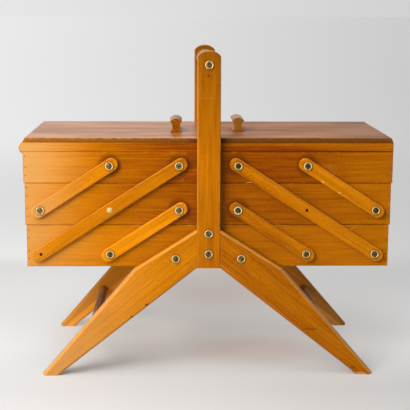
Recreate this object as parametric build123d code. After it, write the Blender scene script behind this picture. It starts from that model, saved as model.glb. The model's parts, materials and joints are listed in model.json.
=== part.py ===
"""Two-lid sewing carrier: three tiers of trays that swing out on wooden arms.

X runs from left to right, Y from the front face to the back, and Z is up.
The origin is on the floor, in the middle of the carrier. Millimetres.
"""
from build123d import *
import os
from math import hypot, sqrt

# --- Tiers ---------------------------------------------------------------
box_bottom_height = 151.0          # underside of the bottom tray above the floor
tray_depth = 226.0                 # bottom tray, front face to back face
bottom_tray_half_length = 247.0
tier_step_out = 1.5                # each tier ends this much further out
bottom_tray_height = 57.2
middle_tray_height = 57.2
top_tray_height = 42.8
board_thickness = 8.0
floor_thickness = 4.0
floor_groove_depth = 3.0
floor_groove_rise = 3.0            # lower edge of a board to its floor groove
board_edge_ease = 0.6

# --- Lids ----------------------------------------------------------------
lid_rail_height = 12.0
lid_panel_thickness = 6.0
lid_panel_end_bevel = 2.8
bead_radius = 8.4                  # half-round end of the left lid
bead_stand_out = 5.3               # how far that bead stands past the tray end
bead_top_step = 1.0                # bead's top above the panel's underside

# --- Pulls ---------------------------------------------------------------
pull_height = 19.4
pull_base_width = 15.0
pull_waist_width = 10.0
pull_head_width = 16.8
pull_foot_height = 1.6             # upright edge of the foot
pull_waist_height = 9.0
pull_head_height = 15.4
pull_length = 60.0
pull_offset = 44.0                 # pull's centre line from the middle
left_pull_shift = -14.8            # pulls are set by eye, so each has its own place
right_pull_shift = -2.2

# --- Posts and handle bar ------------------------------------------------
post_width = 31.2
post_thickness = 15.0
post_above_lids = 117.2
post_arch_rise = 7.5
post_edge_radius = 1.6
handle_bar_diameter = 26.0
handle_bar_drop = 18.7             # post's top to the bar's centre

# --- Legs ----------------------------------------------------------------
leg_thickness = 15.0
leg_root_rise = 53.5               # leg's top corner at the post, above the box bottom
knee_reach = 100.0
foot_reach = 229.6                 # to the foot's point before its toe is cut off
toe_run = 4.0
toe_lift = 2.5
foot_flat = 20.9
heel_run = 5.9
heel_lift = 5.5
leg_edge_radius = 4.5
stretcher_reach = 158.8
stretcher_diameter = 13.5
stretcher_tenon = 9.0              # how far a stretcher enters each leg

# --- Arms and pivots -----------------------------------------------------
arm_width = 17.5
arm_thickness = 6.0
arm_end_reach = 3.5                # pivot to the centre of the arm's round end
arm_edge_bevel = 0.8
inner_pivot_reach = 40.0
outer_pivot_reach = 227.5
bottom_pivot_height = 18.0         # each above the lower edge of its own tray
middle_pivot_height = 21.0
top_pivot_height = 24.0

# --- Screws, cups and hinges --------------------------------------------
screw_shank_diameter = 4.2
screw_head_diameter = 7.2
screw_head_cone = 1.5
screw_head_dome = 0.8
screw_slot_width = 1.0
screw_slot_depth = 1.0
first_slot_angle = 25.0            # slots point where the driver left them
slot_angle_step = 67.0
screw_bite = 6.2                   # depth of a screw in the board behind
bar_screw_bite = 20.0
cup_diameter = 11.4
cup_height = 2.1
cup_floor = 0.4                    # brass left under the narrow end of the head
cup_lip = 0.8                      # from the head's rim to the highest ring of the cup
dome_nail_diameter = 8.0
dome_nail_height = 1.9
sunk_pin_depth = 1.2
post_low_screw_height = 20.0       # above the box bottom
post_high_screw_inset = 9.1        # below the rim of the bottom tray
leg_screw_reach = 44.5
leg_screw_height = 13.6
hinge_width = 25.0
hinge_leaf_length = 13.0
hinge_leaf_thickness = 1.0
hinge_knuckle_diameter = 4.8
hinge_pin_diameter = 2.0
hinge_knuckle_share = 0.36         # middle knuckle's share of the width
hinge_spread = 62.0                # each hinge's centre from the middle of the lid

# --- Clearances ----------------------------------------------------------
tier_gap = 0.4
lid_gap = 0.3
post_gap = 0.4                     # upper trays to the posts
centre_gap = 1.0                   # between the left and the right trays
arm_gap = 0.3
head_gap = 0.1                     # cup or nail head to the arm that turns under it
pivot_gap = 0.08
fit_gap = 0.05
groove_gap = 0.1
lip_gap = 0.4                      # bead to the tray's end
hinge_gap = 0.25
leaf_gap = 0.1

# --- Levels and faces ----------------------------------------------------
middle_tray_level = box_bottom_height + bottom_tray_height + tier_gap
top_tray_level = middle_tray_level + middle_tray_height + tier_gap
lid_joint_level = top_tray_level + top_tray_height
lid_rail_level = lid_joint_level + lid_gap
lid_panel_level = lid_rail_level + lid_rail_height
lid_top_level = lid_panel_level + lid_panel_thickness
post_top_level = lid_top_level + post_above_lids
handle_bar_level = post_top_level - handle_bar_drop
bottom_face = tray_depth / 2
upper_face = bottom_face - post_gap
arm_inner_face = bottom_face + arm_gap
arm_outer_face = arm_inner_face + arm_thickness
post_outer_face = bottom_face + post_thickness
leg_outer_face = bottom_face + leg_thickness
middle_tray_end = bottom_tray_half_length + tier_step_out
top_tray_end = middle_tray_end + tier_step_out
upper_inner_end = centre_gap / 2

# --- Pivot grid: reach from the middle, and level -------------------------
bottom_row = box_bottom_height + bottom_pivot_height
middle_row = middle_tray_level + middle_pivot_height
top_row = top_tray_level + top_pivot_height
total_run = outer_pivot_reach - inner_pivot_reach
lower_run = total_run * (middle_row - bottom_row) / (top_row - bottom_row)
upper_run = total_run - lower_run
long_bottom = (outer_pivot_reach, bottom_row)
long_middle = (outer_pivot_reach - lower_run, middle_row)
long_top = (inner_pivot_reach, top_row)
lower_bottom = (inner_pivot_reach + lower_run, bottom_row)
lower_top = (inner_pivot_reach, middle_row)
upper_bottom = (outer_pivot_reach, middle_row)
upper_top = (outer_pivot_reach - upper_run, top_row)

LEFT, RIGHT = "left", "right"
FRONT, BACK = "front", "back"
CUP, DOME, SUNK = "cup", "dome", "sunk"
pivot_styles = {
    LEFT: {long_bottom: SUNK, long_middle: DOME},
    RIGHT: {long_middle: SUNK},
}

# --- Lid hinge line, for a lid with and without the bead ------------------
bead_centre_reach = top_tray_end + bead_stand_out - bead_radius
bead_centre_level = lid_panel_level + bead_top_step - bead_radius
bead_lip_reach = top_tray_end + lip_gap
bead_lip_level = bead_centre_level - sqrt(bead_radius**2 - (bead_lip_reach - bead_centre_reach) ** 2)
knuckle_radius = hinge_knuckle_diameter / 2
hinge_line_reach = top_tray_end + knuckle_radius + hinge_gap
hinge_line_level = {
    LEFT: bead_lip_level - knuckle_radius - hinge_gap,
    RIGHT: lid_joint_level + lid_gap / 2,
}

shank_radius = screw_shank_diameter / 2
NODES = {}


def keep(name, *solids):
    """Store the solids of one named piece, or of one group of like pieces."""
    NODES[name] = list(solids)


def to_side(piece, side):
    """Pieces are drawn on the left; the right-hand ones are their mirror image."""
    return mirror(piece, about=Plane.YZ) if side == RIGHT else piece


def to_face(piece, face):
    """Pieces are drawn at the front; those at the back are their mirror image."""
    return mirror(piece, about=Plane.XZ) if face == BACK else piece


def front_plane(reach, level, face):
    """A plane on a front face, left of the middle, looking out of the carrier."""
    return Plane(origin=(-reach, -face, level), x_dir=(1, 0, 0), z_dir=(0, -1, 0))


def front_hole(reach, level, face, depth, radius):
    """A hole sunk from a front face into what lies behind it."""
    drill = Cylinder(radius, depth, align=(Align.CENTER, Align.CENTER, Align.MAX))
    return front_plane(reach, level, face) * drill


def pilot_hole(reach, level, face, bite=screw_bite):
    """A blind hole for the end of a screw, sunk from a front face."""
    return front_hole(reach, level, face, bite + fit_gap, shank_radius + fit_gap)


# --- Fasteners ------------------------------------------------------------
head_radius = screw_head_diameter / 2
head_rim_height = cup_floor + screw_head_cone


def dome_arc(rim, crown):
    """Arc of a domed head from its rim to its crown, level at the crown."""
    height = crown[1] - rim[1]
    sphere = (rim[0] ** 2 + height**2) / (2 * height)
    half_way = rim[0] / 2
    return ThreePointArc(rim, (half_way, crown[1] - sphere + sqrt(sphere**2 - half_way**2)), crown)


def screw(length, slot_angle):
    """Raised countersunk screw; z=0 is the face that its cup sits on."""
    rim = (head_radius, head_rim_height)
    crown = (0, head_rim_height + screw_head_dome)
    outline = Polyline((0, -length), (shank_radius, -length), (shank_radius, cup_floor), rim)
    outline += dome_arc(rim, crown)
    outline += Line(crown, (0, -length))
    body = revolve(Plane.XZ * make_face(outline), Axis.Z)
    slot = Box(screw_head_diameter, screw_slot_width, screw_slot_depth * 2)
    return body - Pos(0, 0, crown[1]) * Rot(0, 0, slot_angle) * slot


def cup():
    """Dished brass washer that holds the screw's countersunk head."""
    bore = shank_radius + fit_gap
    outline = Polyline(
        (bore, head_gap),
        (cup_diameter / 2, head_gap),
        (head_radius + cup_lip, cup_height),
        (head_radius + 2 * fit_gap, head_rim_height),
        (bore, cup_floor),
        close=True,
    )
    return revolve(Plane.XZ * make_face(outline), Axis.Z)


def dome_nail(length):
    """Round-headed nail that turns an arm with no cup under its head."""
    rim = (dome_nail_diameter / 2, head_gap)
    crown = (0, head_gap + dome_nail_height)
    outline = Polyline((0, -length), (shank_radius, -length), (shank_radius, head_gap), rim)
    outline += dome_arc(rim, crown)
    outline += Line(crown, (0, -length))
    return revolve(Plane.XZ * make_face(outline), Axis.Z)


def sunk_pin(length):
    """Headless pin that stops below the face of its arm."""
    pin = Cylinder(shank_radius, length - sunk_pin_depth, align=(Align.CENTER, Align.CENTER, Align.MIN))
    return Pos(0, 0, -length) * pin


def fastener(style, length, slot_angle):
    """The screw, nail or pin of one style."""
    if style == CUP:
        return screw(length, slot_angle)
    return dome_nail(length) if style == DOME else sunk_pin(length)


def fasteners(places, side, outer_face, bite_face, bite=screw_bite):
    """Screws or nails at some places of one side, front and back, and their cups."""
    pins, cups = [], []
    length = outer_face - bite_face + bite
    for index, place in enumerate(places):
        style = pivot_styles[side].get(place, CUP)
        plane = front_plane(*place, outer_face)
        pin = plane * fastener(style, length, first_slot_angle + slot_angle_step * index)
        for face in (FRONT, BACK):
            pins.append(to_side(to_face(pin, face), side))
            if style == CUP:
                cups.append(to_side(to_face(plane * cup(), face), side))
    return pins, cups


# --- Trays ------------------------------------------------------------------
def board_section(height):
    """Board's section: x inwards from its outer face, y up; grooved for the floor, edges eased."""
    ease = board_edge_ease
    outline = Polyline(
        (0, ease),
        (0, height - ease),
        (ease, height),
        (board_thickness, height),
        (board_thickness, 0),
        (ease, 0),
        close=True,
    )
    groove = Rectangle(
        floor_groove_depth + groove_gap,
        floor_thickness + 2 * groove_gap,
        align=(Align.MAX, Align.MIN),
    )
    return make_face(outline) - Pos(board_thickness, floor_groove_rise - groove_gap) * groove


def tray_boards(outer_end, inner_end, level, height, face):
    """Front, back and end boards and the floor of one tray, drawn on the left.

    inner_end is the reach of the end near the middle, and is minus outer_end for a tray that
    runs right across. The front and back boards cover the ends of the end boards.
    """
    length = outer_end - inner_end
    long_plane = Plane(origin=(-outer_end, -face, level), x_dir=(0, 1, 0), z_dir=(1, 0, 0))
    front = extrude(long_plane * board_section(height), length)
    inside_face = face - board_thickness
    outer_plane = Plane(origin=(-outer_end, inside_face, level), x_dir=(1, 0, 0), z_dir=(0, -1, 0))
    inner_plane = Plane(origin=(-inner_end, -inside_face, level), x_dir=(-1, 0, 0), z_dir=(0, 1, 0))
    ends = [extrude(plane * board_section(height), 2 * inside_face) for plane in (outer_plane, inner_plane)]
    floor_margin = board_thickness - floor_groove_depth
    floor_size = (length - 2 * floor_margin, 2 * (face - floor_margin), floor_thickness)
    floor_place = Pos(-(outer_end + inner_end) / 2, 0, level + floor_groove_rise)
    floor = floor_place * Box(*floor_size, align=(Align.CENTER, Align.CENTER, Align.MIN))
    return front, ends, floor


def pilot_holes(places, face):
    """Pilot holes in the front board of a tray, drawn on the left."""
    return [pilot_hole(*place, face) for place in places]


def side_tray(side, tier, end, level, height, places):
    """One half-length tray with its pivot screws and cups."""
    front, ends, floor = tray_boards(end, upper_inner_end, level, height, upper_face)
    front -= pilot_holes(places, upper_face)
    name = f"{side}_{tier}_tray"
    keep(f"{name}_front", to_side(front, side))
    keep(f"{name}_back", to_side(to_face(front, BACK), side))
    keep(f"{name}_ends", *[to_side(board, side) for board in ends])
    keep(f"{name}_floor", to_side(floor, side))
    pins, cups = fasteners(places, side, arm_outer_face, upper_face)
    keep(f"{name}_pivots", *pins)
    keep(f"{name}_cups", *cups)


# --- Arms -------------------------------------------------------------------
def arm(pivots):
    """Flat bar with round ends through the given pivots, first to last, drawn at the left front."""
    (reach_a, level_a), (reach_b, level_b) = pivots[0], pivots[-1]
    span = hypot(reach_b - reach_a, level_b - level_a)
    along = ((reach_a - reach_b) / span, (level_b - level_a) / span)
    plane = Plane(
        origin=(-(reach_a + reach_b) / 2, -arm_inner_face, (level_a + level_b) / 2),
        x_dir=(along[0], 0, along[1]),
        z_dir=(0, -1, 0),
    )
    bar = extrude(plane * SlotCenterToCenter(span + 2 * arm_end_reach, arm_width), arm_thickness)
    bar = chamfer(bar.edges().group_by(Axis.Y)[0], arm_edge_bevel)
    bore = shank_radius + pivot_gap
    return bar - [front_hole(*pivot, arm_outer_face, arm_thickness, bore) for pivot in pivots]


def arm_pair(side, name, pivots):
    """The front and the back arm of one kind on one side."""
    for face in (FRONT, BACK):
        keep(f"{side}_{face}_{name}_arm", to_side(to_face(arm(pivots), face), side))


# --- Lids -------------------------------------------------------------------
def lid_end_section(side):
    """Lid's front-view outline below its panel, with the half-round end where the lid has one."""
    length = top_tray_end - upper_inner_end
    rail = Rectangle(length, lid_rail_height, align=(Align.MIN, Align.MIN))
    rail = Pos(-top_tray_end, lid_rail_level) * rail
    if side == RIGHT:
        return rail
    bead = Pos(-bead_centre_reach, bead_centre_level) * Circle(bead_radius)
    room = 4 * bead_radius
    over = Pos(-bead_centre_reach, lid_panel_level) * Rectangle(room, room, align=(Align.CENTER, Align.MIN))
    under = Pos(-bead_lip_reach, lid_rail_level) * Rectangle(room, room, align=(Align.MIN, Align.MAX))
    return rail + (bead - over - under)


def lid_rails(side):
    """Front, back, outer and inner rails of one lid, drawn on the left."""
    section = Plane.XZ * lid_end_section(side)
    inside_face = upper_face - board_thickness
    front = Pos(0, -inside_face, 0) * extrude(section, board_thickness)
    through = extrude(section, inside_face, both=True)
    end_room = Box(2 * board_thickness, tray_depth, 4 * (lid_rail_height + bead_radius))
    outer = through & Pos(-top_tray_end, 0, lid_rail_level) * end_room
    inner = through & Pos(-upper_inner_end, 0, lid_rail_level) * end_room
    pocket = Box(
        4 * bead_radius,
        hinge_width + 2 * leaf_gap,
        4 * (lid_rail_height + bead_radius),
        align=(Align.MAX, Align.CENTER, Align.CENTER),
    )
    for place in (-hinge_spread, hinge_spread):
        outer -= Pos(-top_tray_end, place, lid_rail_level) * pocket
    return [front, to_face(front, BACK), outer, inner]


def lid_panel():
    """Lid's top panel with its bevelled outer end, drawn on the left."""
    outline = Polyline(
        (-upper_inner_end, lid_panel_level),
        (-top_tray_end, lid_panel_level),
        (-top_tray_end + lid_panel_end_bevel, lid_top_level),
        (-upper_inner_end, lid_top_level),
        close=True,
    )
    return extrude(Plane.XZ * make_face(outline), upper_face, both=True)


def pull(shift):
    """Bar pull with a waist and a domed head, drawn on the left."""
    foot = (pull_base_width / 2, pull_foot_height)
    waist = (pull_waist_width / 2, pull_waist_height)
    head = (pull_head_width / 2, pull_head_height)
    crown = (0, pull_height)
    outline = Polyline((0, 0), (foot[0], 0), foot)
    outline += ThreePointArc(foot, waist, head)
    outline += dome_arc(head, crown)
    outline += Line(crown, (0, 0))
    half = make_face(outline)
    section = half + mirror(half, about=Plane.YZ)
    return Pos(-pull_offset, shift, lid_top_level) * extrude(Plane.XZ * section, pull_length / 2, both=True)


def hinge_leaves(side):
    """Tray leaf with its pin, and lid leaf, of one butt hinge at y=0, drawn on the left."""
    level = hinge_line_level[side]
    middle = hinge_width * hinge_knuckle_share
    outer = (hinge_width - middle) / 2
    line = Pos(-hinge_line_reach, 0, level) * Rot(90, 0, 0)
    plate = Box(
        hinge_leaf_thickness,
        hinge_width,
        hinge_leaf_length,
        align=(Align.MAX, Align.CENTER, Align.MAX),
    )
    plate_place = Pos(-top_tray_end - leaf_gap, 0, level)
    tray_leaf = plate_place * plate
    lid_leaf = plate_place * mirror(plate, about=Plane.XY)
    for place in (-1, 1):
        centre = place * (hinge_width - outer) / 2
        tray_leaf += line * Pos(0, 0, centre) * Cylinder(knuckle_radius, outer)
        lid_leaf -= line * Pos(0, 0, centre) * Cylinder(knuckle_radius + hinge_gap, outer + 2 * leaf_gap)
    tray_leaf -= line * Cylinder(knuckle_radius + hinge_gap, middle)
    tray_leaf += line * Cylinder(hinge_pin_diameter / 2, hinge_width - leaf_gap)
    lid_leaf += line * Cylinder(knuckle_radius, middle - 2 * leaf_gap)
    lid_leaf -= line * Cylinder(hinge_pin_diameter / 2 + fit_gap, hinge_width)
    return tray_leaf, lid_leaf


def lid(side, pull_shift):
    """One lid with its pull, and the two butt hinges at its outer end."""
    keep(f"{side}_lid_panel", to_side(lid_panel(), side))
    keep(f"{side}_lid_rails", *[to_side(rail, side) for rail in lid_rails(side)])
    keep(f"{side}_lid_pull", to_side(pull(pull_shift), side))
    tray_leaf, lid_leaf = hinge_leaves(side)
    for name, leaf in (("tray", tray_leaf), ("lid", lid_leaf)):
        pair = [to_side(Pos(0, place, 0) * leaf, side) for place in (-hinge_spread, hinge_spread)]
        keep(f"{side}_hinge_{name}_leaves", *pair)


# --- Legs, posts, stretchers and handle bar -------------------------------
leg_root_reach = post_width / 2
foot_outer_reach = foot_reach - toe_run
foot_inner_reach = foot_outer_reach - foot_flat
heel_reach = foot_inner_reach - heel_run
toe_reach = foot_reach - toe_lift * (foot_reach - knee_reach) / box_bottom_height


def leg_lower_level(reach):
    """Level of the leg's straight lower edge at a reach from the middle."""
    fall = (box_bottom_height - heel_lift) / (heel_reach - leg_root_reach)
    return box_bottom_height - fall * (reach - leg_root_reach)


def leg_upper_level(reach):
    """Level of the leg's outer edge at a reach between the knee and the foot."""
    return box_bottom_height * (foot_reach - reach) / (foot_reach - knee_reach)


stretcher_level = (leg_lower_level(stretcher_reach) + leg_upper_level(stretcher_reach)) / 2
post_screws = [
    (0.0, box_bottom_height + post_low_screw_height),
    (0.0, middle_tray_level - tier_gap - post_high_screw_inset),
]
bar_screw = (0.0, handle_bar_level)
leg_screw = (leg_screw_reach, box_bottom_height + leg_screw_height)


def leg():
    """Splayed leg with a knee, drawn at the left front."""
    outline = Polyline(
        (-leg_root_reach, box_bottom_height),
        (-leg_root_reach, box_bottom_height + leg_root_rise),
        (-knee_reach, box_bottom_height),
        (-toe_reach, toe_lift),
        (-foot_outer_reach, 0),
        (-foot_inner_reach, 0),
        (-heel_reach, heel_lift),
        close=True,
    )
    blank = Pos(0, -bottom_face, 0) * extrude(Plane.XZ * make_face(outline), leg_thickness)
    faces_y = (blank.faces().sort_by(Axis.Y)[0], blank.faces().sort_by(Axis.Y)[-1])
    rounded = [edge for face in faces_y for edge in face.edges().sort_by(Edge.length)[-3:]]
    blank = fillet(rounded, leg_edge_radius)
    blank -= front_hole(*leg_screw, leg_outer_face, leg_thickness, shank_radius + fit_gap)
    socket = Cylinder(
        stretcher_diameter / 2 + fit_gap,
        stretcher_tenon + groove_gap,
        align=(Align.CENTER, Align.CENTER, Align.MIN),
    )
    return blank - front_plane(stretcher_reach, stretcher_level, bottom_face) * socket


def post():
    """Upright with an arched top, drawn at the front."""
    half = post_width / 2
    shoulder = post_top_level - post_arch_rise
    outline = Polyline(
        (-half, shoulder),
        (-half, box_bottom_height),
        (half, box_bottom_height),
        (half, shoulder),
    )
    outline += ThreePointArc((half, shoulder), (0, post_top_level), (-half, shoulder))
    blank = Pos(0, -bottom_face, 0) * extrude(Plane.XZ * make_face(outline), post_thickness)
    outer_edges = blank.edges().group_by(Axis.Y)[0].sort_by(Axis.Z)[1:]
    blank = fillet(outer_edges, post_edge_radius)
    holes = [
        front_hole(*place, post_outer_face, post_thickness, shank_radius + fit_gap)
        for place in post_screws + [bar_screw]
    ]
    return blank - holes


def handle_bar():
    """Round bar between the posts, with a pilot hole in each end."""
    bar = Pos(0, 0, handle_bar_level) * Rot(90, 0, 0) * Cylinder(handle_bar_diameter / 2, 2 * bottom_face)
    hole = pilot_hole(*bar_screw, bottom_face, bar_screw_bite)
    return bar - hole - to_face(hole, BACK)


def stretcher():
    """Dowel from a front leg to the back leg behind it, drawn on the left."""
    dowel = Cylinder(stretcher_diameter / 2, 2 * (bottom_face + stretcher_tenon))
    return Pos(-stretcher_reach, 0, stretcher_level) * Rot(90, 0, 0) * dowel


# --- The bottom tray and everything fixed to it ------------------------------
front, ends, floor = tray_boards(
    bottom_tray_half_length, -bottom_tray_half_length, box_bottom_height, bottom_tray_height, bottom_face
)
side_places = [long_bottom, lower_bottom, leg_screw]
left_holes = pilot_holes(side_places, bottom_face)
front -= left_holes + [to_side(hole, RIGHT) for hole in left_holes] + pilot_holes(post_screws, bottom_face)
keep("bottom_tray_front", front)
keep("bottom_tray_back", to_face(front, BACK))
keep("bottom_tray_ends", *ends)
keep("bottom_tray_floor", floor)

base_pins, base_cups = [], []
fixed_rows = [
    (post_screws, LEFT, post_outer_face, screw_bite),
    ([bar_screw], LEFT, post_outer_face, bar_screw_bite),
]
for side in (LEFT, RIGHT):
    fixed_rows.append(([leg_screw], side, leg_outer_face, screw_bite))
    fixed_rows.append(([long_bottom, lower_bottom], side, arm_outer_face, screw_bite))
for places, side, outer_face, bite in fixed_rows:
    pins, cups = fasteners(places, side, outer_face, bottom_face, bite)
    base_pins += pins
    base_cups += cups
keep("base_screws", *base_pins)
keep("base_cups", *base_cups)

for face in (FRONT, BACK):
    keep(f"{face}_post", to_face(post(), face))
    for side in (LEFT, RIGHT):
        keep(f"{face}_{side}_leg", to_side(to_face(leg(), face), side))
keep("handle_bar", handle_bar())
keep("leg_stretchers", stretcher(), to_side(stretcher(), RIGHT))

# --- The two swinging sides -----------------------------------------------
for side, pull_shift in ((LEFT, left_pull_shift), (RIGHT, right_pull_shift)):
    middle_places = [long_middle, lower_top, upper_bottom]
    top_places = [long_top, upper_top]
    side_tray(side, "middle", middle_tray_end, middle_tray_level, middle_tray_height, middle_places)
    side_tray(side, "top", top_tray_end, top_tray_level, top_tray_height, top_places)
    arm_pair(side, "long", [long_bottom, long_middle, long_top])
    arm_pair(side, "lower", [lower_bottom, lower_top])
    arm_pair(side, "upper", [upper_bottom, upper_top])
    lid(side, pull_shift)

os.makedirs("parts", exist_ok=True)
for name, solids in NODES.items():
    shape = Compound(children=[solid for piece in solids for solid in piece.solids()])
    export_step(shape, f"parts/{name}.step")
print(len(NODES), "nodes")
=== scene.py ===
"""Two-lid sewing carrier: varnished wood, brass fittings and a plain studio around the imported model."""
import json
import math

import bpy
import numpy as np
from bpy.props import FloatProperty, FloatVectorProperty, IntProperty, PointerProperty
from mathutils import Matrix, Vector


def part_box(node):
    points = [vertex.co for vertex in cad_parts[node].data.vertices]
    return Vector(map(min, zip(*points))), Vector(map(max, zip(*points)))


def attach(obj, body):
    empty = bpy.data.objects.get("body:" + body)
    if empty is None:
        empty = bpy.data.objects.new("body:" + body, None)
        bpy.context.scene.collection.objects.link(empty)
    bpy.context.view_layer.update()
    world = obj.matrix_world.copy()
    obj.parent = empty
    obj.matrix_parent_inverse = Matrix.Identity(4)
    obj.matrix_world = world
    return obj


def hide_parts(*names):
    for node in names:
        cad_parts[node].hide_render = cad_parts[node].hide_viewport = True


bl_info = {
    "name": "Two-lid sewing carrier",
    "version": (1, 0, 0),
    "blender": (4, 5, 0),
    "location": "3D View > Sidebar > Carrier",
    "description": "Finishes, fittings and studio of a cantilever sewing carrier",
    "category": "Object",
}

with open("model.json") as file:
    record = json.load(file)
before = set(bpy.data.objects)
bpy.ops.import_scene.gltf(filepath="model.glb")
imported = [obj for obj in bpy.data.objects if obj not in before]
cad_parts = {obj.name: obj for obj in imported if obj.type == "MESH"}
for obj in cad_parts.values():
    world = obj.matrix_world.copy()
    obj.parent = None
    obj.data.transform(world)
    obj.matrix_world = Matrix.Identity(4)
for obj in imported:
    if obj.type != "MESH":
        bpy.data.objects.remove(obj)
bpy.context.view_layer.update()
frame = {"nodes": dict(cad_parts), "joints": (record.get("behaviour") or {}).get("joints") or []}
NODES = frame["nodes"]
SIDES = ("left", "right")
FACES = ("front", "back")
SIGN = {"left": -1, "right": 1}

# --- Places read from the frame ---------------------------------------------
JOINTS = {joint["name"]: joint for joint in frame["joints"]}


def joint_place(side, motion):
    """(x, z) of one joint of one side."""
    x, _, z = JOINTS[f"{side}_{motion}"]["pos_m"]
    return np.array([x, z])


def pivot_places(side):
    """(x, z) of the seven pivots of one side; the two that have no joint follow from the parallel arms."""
    long_bottom = joint_place(side, "tray_swing")
    long_middle = joint_place(side, "middle_tray_level")
    long_top = joint_place(side, "top_tray_level")
    lower_bottom = joint_place(side, "lower_arm_swing")
    upper_bottom = joint_place(side, "upper_arm_swing")
    return {
        "long_bottom": long_bottom,
        "long_middle": long_middle,
        "long_top": long_top,
        "lower_bottom": lower_bottom,
        "lower_top": lower_bottom + long_middle - long_bottom,
        "upper_bottom": upper_bottom,
        "upper_top": upper_bottom + long_top - long_middle,
    }


PIVOTS = {side: pivot_places(side) for side in SIDES}
ARM_FACE = -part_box("left_front_long_arm")[0].y
POST_FACE = -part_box("front_post")[0].y
ARM_RISE = PIVOTS["left"]["long_top"] - PIVOTS["left"]["long_bottom"]
ARM_SLOPE = math.atan2(ARM_RISE[1], ARM_RISE[0])


# --- Slopes and edges of the legs and arms ----------------------------------
LEG_SLOPE = math.radians(39.0)      # how far a leg's grain leans from level
LEG_MIDDLE_LEVEL = 0.1912           # a line between a leg's two long edges: z = level - slope |x|
LEG_MIDDLE_SLOPE = 0.866
LEG_ROUNDING = 0.0042               # how far behind its outer face a leg's upper edge is rounded
ARM_BEVEL = 0.0009                  # how far behind its outer face an arm's upper edge is bevelled


# --- Wear of the varnish, and painted light and shade -----------------------
DARK_END = 0.48                     # how bright the varnish is at the dark top of the posts
PAINTED_LIGHT_REACH = (-0.265, -0.15)          # x where the wood wholly takes the painted light of the left end, and where that ends
LONG_ARM_PAINTED_LIGHT_REACH = (-0.34, -0.20)
HALO_RADIUS = 0.0195                # reach of the painted shade and dirt round the ends of the arms
HALO_STRENGTH = 0.80
CUP_SHADE_AND_DIRT_RADIUS = 0.0083            # reach of the painted shade and dirt round the screw cups
CUP_SHADE_AND_DIRT_STRENGTH = 0.60
OUTER_SKIN = 0.0012                 # spots of dirt, painted shade and nicks lie only this deep on an outer face
SPOT_CORE = 0.55                    # share of an oval spot that has its full strength
RIDGE_START = 0.07                  # shares of a ridge's width where its painted highlight is full, and begins to fade
RIDGE_END = 0.9
BEECH_WEAR = 0.0019                 # how far from its edges a beech board shows wear, dirt, painted shade and painted highlight
VENEER_WEAR = 0.0016                # how far from its edges a lid's veneer is worn
STREAK_SWING = 0.24                 # how far streaks, fibres and clouds move the age of the varnish
FIBRE_SWING = 0.18
CLOUD_SWING = 0.42


# --- Dents, painted shadows and nicks: x, z, half their width, half their height and strength ---
# Painted shade in the gap between the right lid and its tray, drawn on both.
RIGHT_LID_GAP_SHADE = (0.133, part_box("right_lid_rails")[0].z, 0.160, 0.0017, 0.95)
DENTS_AND_SHADOWS = {
    # front_post: a dark hole near the top, and painted shade down the right half of its upper part.
    "front_post": [(-0.0012, 0.4117, 0.0018, 0.0026, 0.95), (0.0140, 0.3500, 0.0100, 0.0800, 0.20)],
    # Painted shadow beside the post and the arms' upper ends, on the two left trays.
    "left_top_tray_front": [(-0.0225, 0.2990, 0.0115, 0.0180, 0.62)],
    "left_middle_tray_front": [(-0.0210, PIVOTS["left"]["lower_top"][1] - 0.007, 0.0120, 0.0150, 0.42)],
    "front_left_leg": [(-0.0837, 0.1002, 0.0040, 0.0022, 0.9), (-0.1043, 0.0833, 0.0030, 0.0020, 0.9)],
    "right_lid_rails": [RIGHT_LID_GAP_SHADE],
    "right_top_tray_front": [RIGHT_LID_GAP_SHADE],
    "front_right_leg": [(0.1400, 0.0652, 0.0130, 0.0016, 0.6), (0.2010, 0.0107, 0.0050, 0.0018, 0.7)],
}
NICKS = {
    "front_post": [(-0.0020, 0.3824, 0.0150, 0.0009, 0.09)],
    "front_right_leg": [(0.2110, 0.0012, 0.0110, 0.0034, 0.45)],
    "left_front_long_arm": [(-0.0992, 0.2646, 0.0016, 0.0011, 0.9)],
    "right_front_upper_arm": [(0.1546, 0.2687, 0.0020, 0.0012, 0.9), (0.1773, 0.2536, 0.0020, 0.0012, 0.9)],
    "right_top_tray_front": [(0.0566, 0.2668, 0.0070, 0.0011, 0.8)],
}


# --- Screws and nails, set out from the posts, the tiers and the board ends ---
BOX_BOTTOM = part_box("front_post")[0].z
TIER_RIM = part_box("bottom_tray_front")[1].z
BAR_CENTRE = sum(corner.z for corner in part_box("handle_bar")) / 2
POST_SCREW_RISE = 0.0200            # from the box's bottom up to the lower screw of a post
POST_SCREW_DROP = 0.0091            # from the bottom tray's rim down to the upper one
LEG_SCREW_REACH = 0.0445            # from the middle out to a leg's screw
LEG_SCREW_RISE = 0.0136             # from the box's bottom up to it
POST_SCREW_LEVELS = (BOX_BOTTOM + POST_SCREW_RISE, TIER_RIM - POST_SCREW_DROP, BAR_CENTRE)
POST_SCREWS = [(0.0, level) for level in POST_SCREW_LEVELS]
LEG_SCREWS = {side: (SIGN[side] * LEG_SCREW_REACH, BOX_BOTTOM + LEG_SCREW_RISE) for side in SIDES}
NAIL_INSET = 0.0030                 # from the end of a board to its nails, which stand at these heights on it
NAILS = {
    "base": {"left": (0.0109, 0.0221, 0.0403, 0.0504), "right": (0.0080, 0.0171, 0.0373)},
    "left_middle_tray": {"left": (0.0119, 0.0229, 0.0400, 0.0515)},
    "right_middle_tray": {"right": (0.0115, 0.0230, 0.0401, 0.0510)},
    "left_top_tray": {"left": (0.0106, 0.0216, 0.0365)},
    "right_top_tray": {"right": (0.0106, 0.0208, 0.0358)},
    "left_lid": {"left": (0.0025,)},
    "right_lid": {"right": (0.0032,)},
}


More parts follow.
